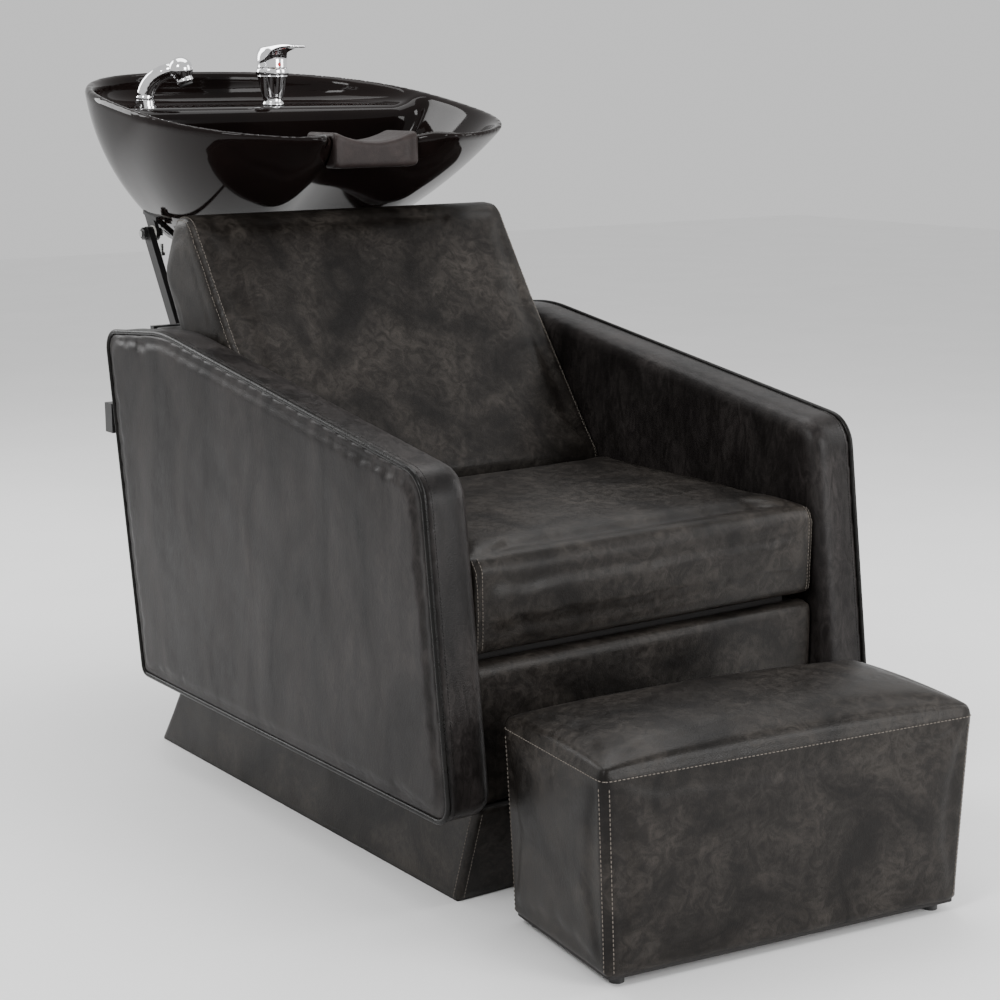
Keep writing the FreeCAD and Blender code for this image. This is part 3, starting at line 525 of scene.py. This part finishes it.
def dense(path, spacing=0.002):
    """Points every spacing along an open path."""
    path = np.asarray(path, float)
    steps = np.linalg.norm(np.diff(path, axis=0), axis=1)
    run = np.concatenate([[0], np.cumsum(steps)])
    at = np.arange(0, run[-1], spacing)
    return np.stack([np.interp(at, run, path[:, k]) for k in range(3)], 1)


def surface_tree(obj):
    return BVHTree.FromPolygons(coords(obj).tolist(), [p.vertices[:] for p in obj.data.polygons])


def groove(obj, paths, depth, width):
    """Press a seam into the surface along each path."""
    points, facing = coords(obj), normals(obj)
    for path in paths:
        line = dense(path, 0.003)
        low, high = line.min(0) - 4 * width, line.max(0) + 4 * width
        near = np.nonzero(np.all((points > low) & (points < high), axis=1))[0]
        for part in np.array_split(near, max(1, len(near) // 4000)):
            gap = np.linalg.norm(points[part][:, None] - line[None], axis=2).min(1)
            points[part] -= facing[part] * (depth * np.exp(-((gap / width) ** 2)))[:, None]
    write_coords(obj, points)


def stitches(name, obj, paths, body, pitch=0.0050, length=0.0037, radius=0.00055):
    """Rows of thread lying on the surface of obj along each path."""
    tree = surface_tree(obj)
    points, faces = [], []
    profile = [(-0.5, 0.25), (-0.36, 0.85), (0.0, 1.0), (0.36, 0.85), (0.5, 0.25)]
    for path in paths:
        line = dense(path, pitch)
        for here, ahead in zip(line[:-1], line[1:]):
            spot, normal, _, _ = tree.find_nearest(Vector(here))
            if spot is None or (spot - Vector(here)).length > 0.03:
                continue
            along = Vector(ahead - here)
            along = (along - normal * along.dot(normal)).normalized()
            side = normal.cross(along)
            base = len(points)
            for t, r in profile:
                for k in range(6):
                    angle = k * math.pi / 3
                    bow = normal * (math.sin(angle) * r * radius + (1 - abs(t) * 1.6) * radius * 0.7)
                    points.append(spot + along * (t * length) + side * (math.cos(angle) * r * radius) + bow)
            for ring in range(4):
                for k in range(6):
                    a, b = base + ring * 6 + k, base + ring * 6 + (k + 1) % 6
                    faces.append((a, b, b + 6, a + 6))
            faces.append([base + k for k in range(6)][::-1])
            faces.append([base + 24 + k for k in range(6)])
    made = mesh_object(name, points, faces, MATERIALS["thread"])
    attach(made, body)
    return made


def tube(name, path, radius, material, sides=12):
    """Round cord along a closed path."""
    path = np.asarray(path, float)
    ahead = np.roll(path, -1, 0) - np.roll(path, 1, 0)
    ahead /= np.linalg.norm(ahead, axis=1)[:, None]
    across = np.cross(ahead, [1.0, 0.0, 0.0])
    across /= np.linalg.norm(across, axis=1)[:, None]
    lift = np.cross(across, ahead)
    turn = np.arange(sides) * 2 * math.pi / sides
    rings = []
    for centre, a, b in zip(path, across, lift):
        rings.append(centre + radius * (np.outer(np.cos(turn), a) + np.outer(np.sin(turn), b)))
    points = np.concatenate(rings)
    faces, count = [], len(path)
    for i in range(count):
        a, b = i * sides, (i + 1) % count * sides
        faces.extend((a + k, a + (k + 1) % sides, b + (k + 1) % sides, b + k) for k in range(sides))
    return mesh_object(name, points, faces, material)


# ---- implicit surfaces ----
def smooth_max(a, b, k):
    h = np.maximum(k - np.abs(a - b), 0) / k
    return np.maximum(a, b) + h * h * k / 4


def smooth_min(a, b, k):
    return -smooth_max(-a, -b, k)


def iso_surface(name, field, low, high, step, material, rounds=2):
    """Mesh the zero surface of field, negative inside, by surface nets and Newton steps."""
    axes = [np.arange(a, b + step, step) for a, b in zip(low, high)]
    grid = np.stack(np.meshgrid(*axes, indexing="ij"), -1)
    value = field(grid.reshape(-1, 3)).reshape(grid.shape[:3])
    shape = tuple(n - 1 for n in value.shape)
    total, hits = np.zeros(shape + (3,)), np.zeros(shape)

    def window(o):
        return tuple(slice(o[k], o[k] + shape[k]) for k in range(3))

    for axis in range(3):
        others = [k for k in range(3) if k != axis]
        for corner in range(4):
            start = [0, 0, 0]
            start[others[0]], start[others[1]] = corner & 1, corner >> 1
            end = list(start)
            end[axis] = 1
            a, b = value[window(start)], value[window(end)]
            cut = (a < 0) != (b < 0)
            t = np.where(cut, a / np.where(cut, a - b, 1), 0)
            for k in range(3):
                total[..., k] += cut * (t if k == axis else start[k])
            hits += cut
    live = hits > 0
    index = np.full(shape, -1)
    index[live] = np.arange(live.sum())
    points = np.argwhere(live) + total[live] / hits[live][:, None]
    points = points * step + np.array(low)
    faces = []
    for axis in range(3):
        u, v = (axis + 1) % 3, (axis + 2) % 3
        inner = [slice(1, n) for n in shape]
        inner[axis] = slice(0, shape[axis])
        ahead = [slice(1, n) for n in shape]
        ahead[axis] = slice(1, shape[axis] + 1)
        a, b = value[tuple(inner)] < 0, value[tuple(ahead)] < 0
        cells = np.argwhere(a != b)
        cells[:, u] += 1
        cells[:, v] += 1
        rising = a[a != b]
        ring = []
        for du, dv in ((1, 1), (0, 1), (0, 0), (1, 0)):
            spot = cells.copy()
            spot[:, u] -= du
            spot[:, v] -= dv
            ring.append(index[tuple(spot.T)])
        quads = np.stack(ring, 1)
        faces.append(np.where(rising[:, None], quads, quads[:, ::-1]))
    faces = np.concatenate(faces)
    faces = faces[(faces >= 0).all(1)]
    obj = mesh_object(name, points, faces.tolist(), material)
    for _ in range(rounds):
        relax(obj, 2)
        write_coords(obj, settle(field, coords(obj), step))
    return obj


def settle(field, points, step):
    """Newton steps that bring points onto the zero surface of field."""
    tiny = step / 20
    for _ in range(3):
        value = field(points)
        steps = tiny * np.eye(3)
        slope = np.stack([(field(points + e) - field(points - e)) / (2 * tiny) for e in steps], 1)
        size = np.maximum((slope**2).sum(1), 0.05)
        move = -(value / size)[:, None] * slope
        length = np.linalg.norm(move, axis=1)[:, None] + 1e-12
        points = points + move / length * np.minimum(length, step)
    return points


# ---- bowl ----
def bowl_wall(p):
    """Rough signed distance to the bowl's outer skin, without its rim and base."""
    x, y, z = np.abs(p[:, 0]), p[:, 1], p[:, 2]
    unit = np.clip((y - BOWL_Y) / BOWL_HALF_DEPTH, -1, 1)
    for _ in range(4):
        depth = BOWL_HALF_DEPTH + 0.002 * np.tanh(unit * 3)
        w = np.clip((z - KEEL_Z) / (RIM_Z + RIM_SLOPE * depth * unit - KEEL_Z), 0.02, 1.6)
        below = np.maximum(0.0, 1 - w)
        rising = np.minimum(w, 1)
        size = (rising**0.545 + np.sin(math.pi / 2 * rising**0.722)) / 2 + 0.05 * (w - rising)
        middle = BOWL_Y + 0.145 * below
        half_y = (depth - 0.084 * below * (0.5 - 0.5 * np.tanh(unit * 3))) * size
        unit = np.clip((y - middle) / half_y, -1, 1)
    power = 2.645 - 0.085 * np.tanh(unit * 3)
    across, along = x / (BOWL_HALF_WIDTH * size), np.abs(y - middle) / half_y
    reach = (across**power + along**power) ** (1 / power)
    return (reach - 1) * 0.24 * size


def neck_fields(p):
    """Signed distances to the upright neck notch and to the scoop below it."""
    side = np.abs(p[:, 0]) - (NECK_HALF - NECK_CORNER)
    back = p[:, 1] - (NECK_Y - NECK_CORNER)
    outside = np.hypot(np.maximum(side, 0), np.maximum(back, 0))
    notch = outside + np.minimum(np.maximum(side, back), 0) - NECK_CORNER
    down = (p[:, 1] - NECK_Y) * -0.5426 + (p[:, 2] - SCOOP_Z) * -0.84
    scoop = np.hypot(p[:, 0], down - SCOOP_RADIUS) - SCOOP_RADIUS
    return notch, scoop


def bowl_field(p):
    x, y, z = p.T
    outer = bowl_wall(p)
    notch, scoop = neck_fields(p)
    inner = smooth_max(outer + BOWL_WALL, FLOOR_Z - z, 0.050)
    inner = smooth_max(inner, 0.014 - smooth_min(notch, scoop, 0.03), 0.030)
    wall_y = 0.545 + 0.030 * np.clip((DECK_Z - z) / (DECK_Z - FLOOR_Z), 0, 1)
    under = smooth_max(z - DECK_Z, wall_y - y, 0.030)
    hollow = smooth_max(z - DECK_Z + DECK_THICKNESS, wall_y + DECK_THICKNESS - y, 0.010)
    basin = smooth_max(inner, np.minimum(-under, hollow), 0.030)
    solid = smooth_max(outer, 0.742 - z, 0.030)
    solid = smooth_max(solid, -smooth_min(notch, scoop, 0.03), 0.016)
    solid = smooth_max(solid, -basin, 0.006)
    rim = (z - 0.9821 - RIM_SLOPE * (y - BOWL_Y)) * 0.987
    solid = smooth_max(solid, rim, 0.017)
    dip = smooth_max(np.hypot(x, z - NECK_DIP_Z - NECK_DIP_RADIUS) - NECK_DIP_RADIUS, y - 0.320, 0.010)
    solid = smooth_max(solid, -dip, 0.014)
    boss = np.maximum(np.hypot(x, y - DRAIN_Y) - 0.036, np.maximum(0.736 - z, z - FLOOR_Z))
    solid = smooth_min(solid, boss, 0.006)
    solid = np.maximum(solid, 0.024 - np.hypot(x, y - DRAIN_Y))
    for at, radius in ((MIXER_AT, 0.0165), (SOCKET_AT, 0.0132)):
        hole = np.maximum(np.hypot(x - at[0], y - at[1]) - radius, 0.94 - z)
        solid = np.maximum(solid, -hole)
    service = np.maximum(np.abs(x) - 0.075, np.maximum(np.abs(y - 0.6305) - 0.0345, z - 0.786))
    return np.maximum(solid, -service)


def make_bowl():
    low, high = (-0.322, 0.150, 0.728), (0.322, 0.792, 1.050)
    bowl = iso_surface("ceramic_bowl", bowl_field, low, high, 0.0045, MATERIALS["bowl_ceramic"])
    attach(bowl, "bowl")
    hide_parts("bowl_shell")


def pad_field(p):
    """Soft saddle over the neck dip: a flap outside the rim and a plump wedge over the basin."""
    x, y, z = p.T
    ceramic_gap = 0.0006 - bowl_field(p)
    notch, _ = neck_fields(p)
    hollow = NECK_DIP_RADIUS - PAD_THICKNESS - np.hypot(x, z - NECK_DIP_Z - NECK_DIP_RADIUS)
    pad = smooth_max(hollow, y - PAD_REAR_Y, 0.012)
    pad = smooth_max(pad, -(notch + 0.0083), 0.010)
    pad = smooth_max(pad, np.abs(x) - PAD_HALF, 0.012)
    pad = smooth_max(pad, PAD_LOW_Z - z, 0.010)
    return smooth_max(pad, ceramic_gap, 0.002)


def make_neck_pad():
    low, high = (-0.078, 0.214, 0.878), (0.078, 0.318, 0.950)
    pad = iso_surface("neck_cushion", pad_field, low, high, 0.0016, MATERIALS["neck_rubber"])
    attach(pad, "neck_pad")
    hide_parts("neck_pad")


# ---- upholstery ----
def finish_soft(obj, body, nodes):
    """Attach an upholstered piece to its body and hide the CAD nodes it stands in for."""
    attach(obj, body)
    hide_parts(*nodes)


def clamp(obj, low, high):
    write_coords(obj, np.clip(coords(obj), low, high))


def in_plane(outline, x):
    """Outline's points as 3-D points at x."""
    return [(x, y, z) for y, z in outline]


def make_arm(side, name):
    outline = rounded(ARM_CORNERS, 9)
    material = MATERIALS["leather_side"]
    arm = rounded_prism("arm_" + name, shrink(outline, 0.0008), 0.2806, 0.3492, 0.022, 0.003, material)
    remesh(arm, 0.0050)
    inflate(arm, 0.0055, smooth=0)
    relax(arm, 3, np.clip((coords(arm)[:, 0] - 0.338) / 0.006, 0, 1))
    points = coords(arm)
    points[:, 0] = np.clip(points[:, 0], 0.2803, 0.3535)
    points[:, 2] = np.maximum(points[:, 2], CARCASS_Z)
    write_coords(arm, points)
    subdivide(arm)
    welt = closed(shrink(outline, 0.0028))
    groove(arm, [in_plane(welt, OUTER - 0.001)], 0.0014, 0.0050)
    cord = dense(in_plane(welt, OUTER - 0.0018), 0.006)
    # The piping takes the welt leather, painted dark as shade.
    piping = tube("welt_" + name, cord, 0.0037, MATERIALS["leather_welt"])
    line = in_plane(closed(shrink(outline, 0.0005)), OUTER - 0.0125)
    row_name = "welt_stitches_" + name
    row = stitches(row_name, arm, [line], "chair", pitch=0.0042, length=0.0030, radius=0.00040)
    if side < 0:
        for piece in (arm, piping, row):
            points = coords(piece)
            points[:, 0] *= -1
            write_coords(piece, points)
            piece.data.flip_normals()
    # The welt's stitch row takes the welt leather too, with its painted shade.
    row.data.materials[0] = MATERIALS["leather_welt"]
    finish_soft(arm, "chair", ["arm_cover_" + name, "arm_filling_" + name])
    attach(piping, "chair")
    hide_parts("arm_piping_" + name)


def make_seat():
    corners = list(SEAT_CORNERS)
    corners[1] = (-0.4425, 0.4440, 0.020)  # the front edge is fuller and sharper than the CAD cushion's
    outline = shrink(rounded(corners), 0.0015)
    seat = rounded_prism("seat_cushion", outline, -0.2788, 0.2788, 0.007, 0.007, MATERIALS["leather"])
    remesh(seat, 0.0050)
    inflate(seat, 0.012)
    write_coords(seat, coords(seat) * (1.008, 1, 1))
    clamp(seat, (-BETWEEN_ARMS, -0.4445, 0.3203), (BETWEEN_ARMS, 0.0295, 0.4600))
    subdivide(seat)
    front = [(-0.445, 0.326), (-0.445, 0.36), (-0.445, 0.40), (-0.440, 0.43), (-0.425, 0.447)]
    seams = [in_plane(front, x) for x in (-0.2745, 0.2745)]
    groove(seat, seams, 0.0022, 0.0035)
    rows = [in_plane(front, x) for x in (-0.2695, 0.2695, -0.2785, 0.2785)]
    stitches("seat_stitches", seat, rows, "chair")
    finish_soft(seat, "chair", ["seat_cover", "seat_foam"])


def make_backrest():
    shape = rounded(BACKREST_CORNERS)
    soft = MATERIALS["leather"]
    back = rounded_prism("backrest_cushion", shrink(shape, 0.0025), -0.2785, 0.2785, 0.010, 0.010, soft)
    remesh(back, 0.0055)
    relax(back, 1)
    inflate(back, 0.008)
    clamp(back, (-BETWEEN_ARMS, 0.0300, 0.3262), (BETWEEN_ARMS, 0.4300, 0.8300))
    subdivide(back)
    front = [p for p in shape[: np.argmax(shape[:, 0] > 0.352)] if p[1] > 0.43]
    seams = [in_plane(front, x) for x in (-0.2775, 0.2775)]
    groove(back, seams, 0.0022, 0.0032)
    inboard = [in_plane(front, x) for x in (-0.2715, 0.2715)]
    outboard = [in_plane([(y + 0.0055, z - 0.0030) for y, z in front], x) for x in (-0.2850, 0.2850)]
    stitches("backrest_stitches", back, inboard + outboard, "chair")
    finish_soft(back, "chair", ["backrest_cover", "backrest_foam"])


def make_apron():
    front, back, low, high = -0.4395, -0.4123, 0.1275, 0.3105
    corners = [(front, low, 0.010), (front, high, 0.014), (back, high, 0.003), (back, low, 0.003)]
    soft = MATERIALS["leather"]
    apron = rounded_prism("front_panel", rounded(corners), -BETWEEN_ARMS, BETWEEN_ARMS, 0.004, 0.004, soft)
    remesh(apron, 0.0050)
    points = coords(apron)
    wave = 0.0012 * np.sin(points[:, 0] * 17 + points[:, 2] * 23) * (points[:, 1] < -0.43)
    points[:, 1] -= np.abs(wave)
    write_coords(apron, points)
    subdivide(apron)
    finish_soft(apron, "chair", ["front_apron"])


def make_plinth():
    """Leather skin of the leaning plinth: four walls with rounded corners, open above and below."""
    levels = np.linspace(0.002, CARCASS_Z, 14)
    points, faces = [], []
    corner = 0.004

    def ring(z, inset):
        t = z / CARCASS_Z
        half = PLINTH_HALF - PLINTH_SIDE_LEAN * t - inset
        front = -PLINTH_END - PLINTH_FRONT_LEAN * t + inset
        rear = PLINTH_END - PLINTH_REAR_LEAN * t - inset
        places = [(-half, front), (half, front), (half, rear), (-half, rear)]
        corners = [(*place, corner) for place in places]
        return [(x, y, z) for x, y in rounded(corners, 5, 0.008)]

    rings = [ring(z, 0.0004) for z in levels] + [ring(z, 0.0024) for z in levels[::-1]]
    count = 480
    for one in rings:
        line = np.array(one + one[:1])
        run = np.concatenate([[0], np.cumsum(np.linalg.norm(np.diff(line, axis=0), axis=1))])
        at = np.arange(count) * run[-1] / count
        points.extend(np.stack([np.interp(at, run, line[:, k]) for k in range(3)], 1))
    for i in range(len(rings)):
        a, b = i * count, (i + 1) % len(rings) * count
        faces.extend((a + k, a + (k + 1) % count, b + (k + 1) % count, b + k) for k in range(count))
    plinth = mesh_object("plinth_leather", points, faces, MATERIALS["leather"])
    heights = np.linspace(0.006, 0.124, 12)
    half = PLINTH_HALF - PLINTH_SIDE_LEAN * heights / CARCASS_Z
    front = -PLINTH_END - PLINTH_FRONT_LEAN * heights / CARCASS_Z
    rows = []
    for sign in (-1, 1):
        for dx, dy in ((0.010, 0.0), (0.0, 0.010)):
            rows.append(np.stack([sign * (half - dx), front + dy, heights], 1))
    stitches("plinth_stitches", plinth, rows, "chair")
    finish_soft(plinth, "chair", ["plinth_cover"])


def make_rear_shelf():
    low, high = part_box("rear_shelf")
    front, back = max(0.349, low[1] + 0.001), high[1] - 0.0005
    corners = [(front, 0.6305, 0.003), (front, 0.6475, 0.006)]
    corners += [(back, 0.6475, 0.006), (back, 0.6305, 0.003)]
    soft = MATERIALS["leather"]
    shelf = rounded_prism("shelf_leather", rounded(corners, 5), -0.2795, 0.2795, 0.003, 0.003, soft)
    finish_soft(shelf, "chair", ["rear_shelf"])


def stool_taper(points):
    """Draw the footstool's walls in towards the floor."""
    lean = 1 - np.clip(points[:, 2] / STOOL_SEAM, 0, 1)
    shaped = points.copy()
    shaped[:, 0] *= 1 - STOOL_TAPER[0] * lean
    shaped[:, 1] *= 1 - STOOL_TAPER[1] * lean
    return shaped


def make_footstool():
    width, depth = STOOL_SIZE
    front, side = depth / 2, width / 2
    corners = [(-front, 0.0, 0.003), (-front, STOOL_SEAM, 0.006)]
    corners += [(front, STOOL_SEAM, 0.006), (front, 0.0, 0.003)]
    soft = MATERIALS["leather"]
    stool = rounded_prism("footstool_cushion", rounded(corners), -side, side, 0.006, 0.006, soft)
    remesh(stool, 0.0048)
    inflate(stool, 0.0035)
    points = coords(stool)
    points[:, 2] = np.maximum(points[:, 2], -0.001)
    dome = np.clip((1 - (points[:, 0] / side) ** 2) * (1 - (points[:, 1] / front) ** 2), 0, 1)
    points[:, 2] += np.clip((points[:, 2] - 0.22) / 0.025, 0, 1) * STOOL_CROWN * dome**0.45
    write_coords(stool, stool_taper(points))
    subdivide(stool)
    top = STOOL_SEAM - 0.002
    around = [(-side, -front), (side, -front), (side, front), (-side, front), (-side, -front)]
    loop = [(x, y, top) for x, y in around]
    edges = [(sx * side, sy * front) for sx in (-1, 1) for sy in (-1, 1)]
    uprights = [[(x, y, 0.008), (x, y, top)] for x, y in edges]
    seams = [stool_taper(np.array(path)) for path in [loop] + uprights]
    groove(stool, seams, 0.0020, 0.0032)
    down = top - 0.0085
    rows = [[(x, y, down) for x, y, _ in loop]]
    for sx in (-1, 1):
        for sy in (-1, 1):
            for dx, dy in ((0.009, 0.0), (0.0, 0.009)):
                x, y = sx * (side - dx), sy * (front - dy)
                rows.append([(x, y, z) for z in np.linspace(0.010, down - 0.004, 8)])
    rows = [stool_taper(np.array(row)) for row in rows]
    thread_rows = stitches(
        "footstool_stitches", stool, rows, "footstool", pitch=0.0056, length=0.0040, radius=0.0007
    )
    turn = Matrix.Translation(STOOL_AT) @ Matrix.Rotation(STOOL_TURN, 4, "Z")
    for piece in (stool, thread_rows):
        piece.data.transform(turn)
    finish_soft(stool, "footstool", ["stool_cover", "stool_pad"])


# ---- chrome fittings ----
def turned(name, at, profile, material, segments=72, hollow=False):
    """Solid of revolution about the vertical through at; a hollow one's profile closes on itself."""
    turn = np.arange(segments) * 2 * math.pi / segments
    points = [at + np.array([r * math.cos(a), r * math.sin(a), h]) for r, h in profile for a in turn]
    faces = []
    for i in range(len(profile) if hollow else len(profile) - 1):
        a, b = i * segments, (i + 1) % len(profile) * segments
        for k in range(segments):
            faces.append((a + k, a + (k + 1) % segments, b + (k + 1) % segments, b + k))
    if not hollow:
        faces.append(list(range(segments))[::-1])
        faces.append([(len(profile) - 1) * segments + k for k in range(segments)])
    return mesh_object(name, points, faces, material)


def capsule(p, a, b, radius):
    a, b = np.asarray(a, float), np.asarray(b, float)
    t = np.clip(((p - a) @ (b - a)) / ((b - a) @ (b - a)), 0, 1)
    return np.linalg.norm(p - a - t[:, None] * (b - a), axis=1) - radius


def lever_field(p):
    """Domed cap with a curved blade reaching over the basin."""
    q = p - MIXER_AT
    x, y, z = q.T
    radial = np.hypot(x, y)
    cap = smooth_max(radial - 0.0245, 0.0603 - z, 0.0012)
    crown = np.linalg.norm(q - np.array([0, 0.002, 0.0600]), axis=1) - 0.0340
    cap = smooth_max(cap, crown, 0.006)
    reach = np.clip(-y / 0.100, -0.25, 1.02)
    centre = 0.086 + 0.010 * np.sin(np.clip(reach, 0, 1) * 2.2)
    thick = 0.0085 - 0.0062 * np.clip(reach * 1.15, 0, 1)
    broad = 0.0175 - 0.0065 * np.clip(reach, 0, 1)
    blade = smooth_max(np.abs(z - centre) - thick, np.abs(x) - broad, 0.005)
    blade = smooth_max(blade, -y - 0.0985, 0.006)
    blade = smooth_max(blade, y - 0.012, 0.006)
    lever = smooth_min(cap, blade, 0.012)
    return np.maximum(lever, -np.maximum(radial - 0.020, z - 0.071))


def make_mixer():
    chrome = MATERIALS["chrome"]
    profile = [(0.0178, 0.0), (0.0186, 0.0008), (0.0186, 0.0040)]
    profile += [(0.0174, 0.0052), (0.0166, 0.0080), (0.0170, 0.014)]
    profile += [(0.0170 + 0.0078 * ((h - 0.014) / 0.036) ** 0.9, h) for h in np.linspace(0.017, 0.050, 12)]
    body = turned("mixer_column", MIXER_AT, profile, chrome)
    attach(body, "bowl")
    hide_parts("mixer_body")
    # the ring is a cup, so that the tilting cap can dip into it
    cup = [(0.0254, 0.0500), (0.0266, 0.0506), (0.0270, 0.0520), (0.0270, 0.0578), (0.0266, 0.0594)]
    cup += [(0.0261, 0.0600), (0.0254, 0.0600), (CUP_BORE, 0.0594), (CUP_BORE, 0.0515)]
    cup += [(CARTRIDGE_R, 0.0515), (CARTRIDGE_R, 0.0500)]
    collar = turned("mixer_ring", MIXER_AT, cup, chrome, hollow=True)
    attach(collar, "bowl")
    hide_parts("mixer_collar")
    low, high = MIXER_AT + (-0.032, -0.108, 0.055), MIXER_AT + (0.032, 0.032, 0.104)
    lever = iso_surface("mixer_handle", lever_field, low, high, 0.0014, chrome)
    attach(lever, "tap_lever")
    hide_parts("mixer_lever")


def handset_field(p):
    """Bent handle from its collar up to the ball of the spray head."""
    at = SOCKET_AT
    reach = HANDSET_REACH
    up = np.array([0.0, 0.0, 1.0])
    t = np.linspace(0, 1, 9)
    a, b, c = at + up * 0.012, at + reach * 0.004 + up * 0.052, at + reach * 0.052 + up * 0.0600
    curve = [(1 - s) ** 2 * a + 2 * s * (1 - s) * b + s * s * c for s in t]
    handle = None
    for s, start, end in zip(t, curve[:-1], curve[1:]):
        part = capsule(p, start, end, 0.0128 - 0.0022 * s)
        handle = part if handle is None else smooth_min(handle, part, 0.004)
    round_collar = np.hypot(p[:, 0] - at[0], p[:, 1] - at[1]) - 0.0145
    collar = smooth_max(round_collar, np.abs(p[:, 2] - at[2] - 0.0145) - 0.0032, 0.002)
    return smooth_max(smooth_min(handle, collar, 0.002), at[2] + 0.0113 - p[:, 2], 0.001)


def head_field(p):
    reach = HANDSET_REACH
    spray = reach * 0.35 - np.array([0, 0, 1.0])
    spray /= np.linalg.norm(spray)
    centre = SOCKET_AT + reach * 0.060 + np.array([0, 0, 0.060])
    q = p - centre
    along = q @ spray
    across = np.linalg.norm(q - along[:, None] * spray, axis=1)
    ball = np.linalg.norm(q, axis=1) - 0.0190
    nozzle = smooth_max(across - 0.0118, np.abs(along - 0.012) - 0.012, 0.002)
    ridge = smooth_max(across - 0.0135, np.abs(along - 0.0195) - 0.0022, 0.0015)
    return smooth_min(smooth_min(ball, nozzle, 0.004), ridge, 0.0015)


def make_handset():
    chrome = MATERIALS["chrome"]
    at = SOCKET_AT
    low, high = at + (-0.022, -0.062, 0.008), at + (0.062, 0.022, 0.080)
    handle = iso_surface("shower_handle", handset_field, low, high, 0.0016, chrome)
    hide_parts("handset_handle")
    low, high = at + (0.015, -0.072, 0.026), at + (0.080, -0.014, 0.084)
    head = iso_surface("shower_head", head_field, low, high, 0.0014, chrome)
    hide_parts("handset_head")
    for piece in (handle, head):
        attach(piece, "handset")


# ---- carried-over CAD nodes ----
def dress_cad_nodes():
    """Give every CAD node the procedural material of its record slot."""
    slots = {part["node"]: part["material_slot"] for part in frame["record"]["subparts"]}
    for name, obj in frame["nodes"].items():
        material = MATERIALS[slots[name]]
        obj.data.materials.clear()
        obj.data.materials.append(material)
        for polygon in obj.data.polygons:
            polygon.material_index = 0


def make_floor():
    s = Shader("studio_floor")
    tone = s.ramp(s.noise(3.0), [(0.3, (0.90, 0.90, 0.90)), (0.7, (0.93, 0.93, 0.93))])
    s.set(Base_Color=tone, Roughness=0.6)
    corners = [(-9, -9, 0), (9, -9, 0), (9, 9, 0), (-9, 9, 0)]
    floor = mesh_object("floor", corners, [(0, 1, 2, 3)], s.material, False)


place_camera()
light_studio()
MATERIALS = make_materials()
make_floor()
dress_cad_nodes()
for side, name in ((1, "left"), (-1, "right")):
    make_arm(side, name)
make_seat()
make_backrest()
make_apron()
make_plinth()
make_rear_shelf()
make_footstool()
make_bowl()
make_neck_pad()
make_mixer()
make_handset()
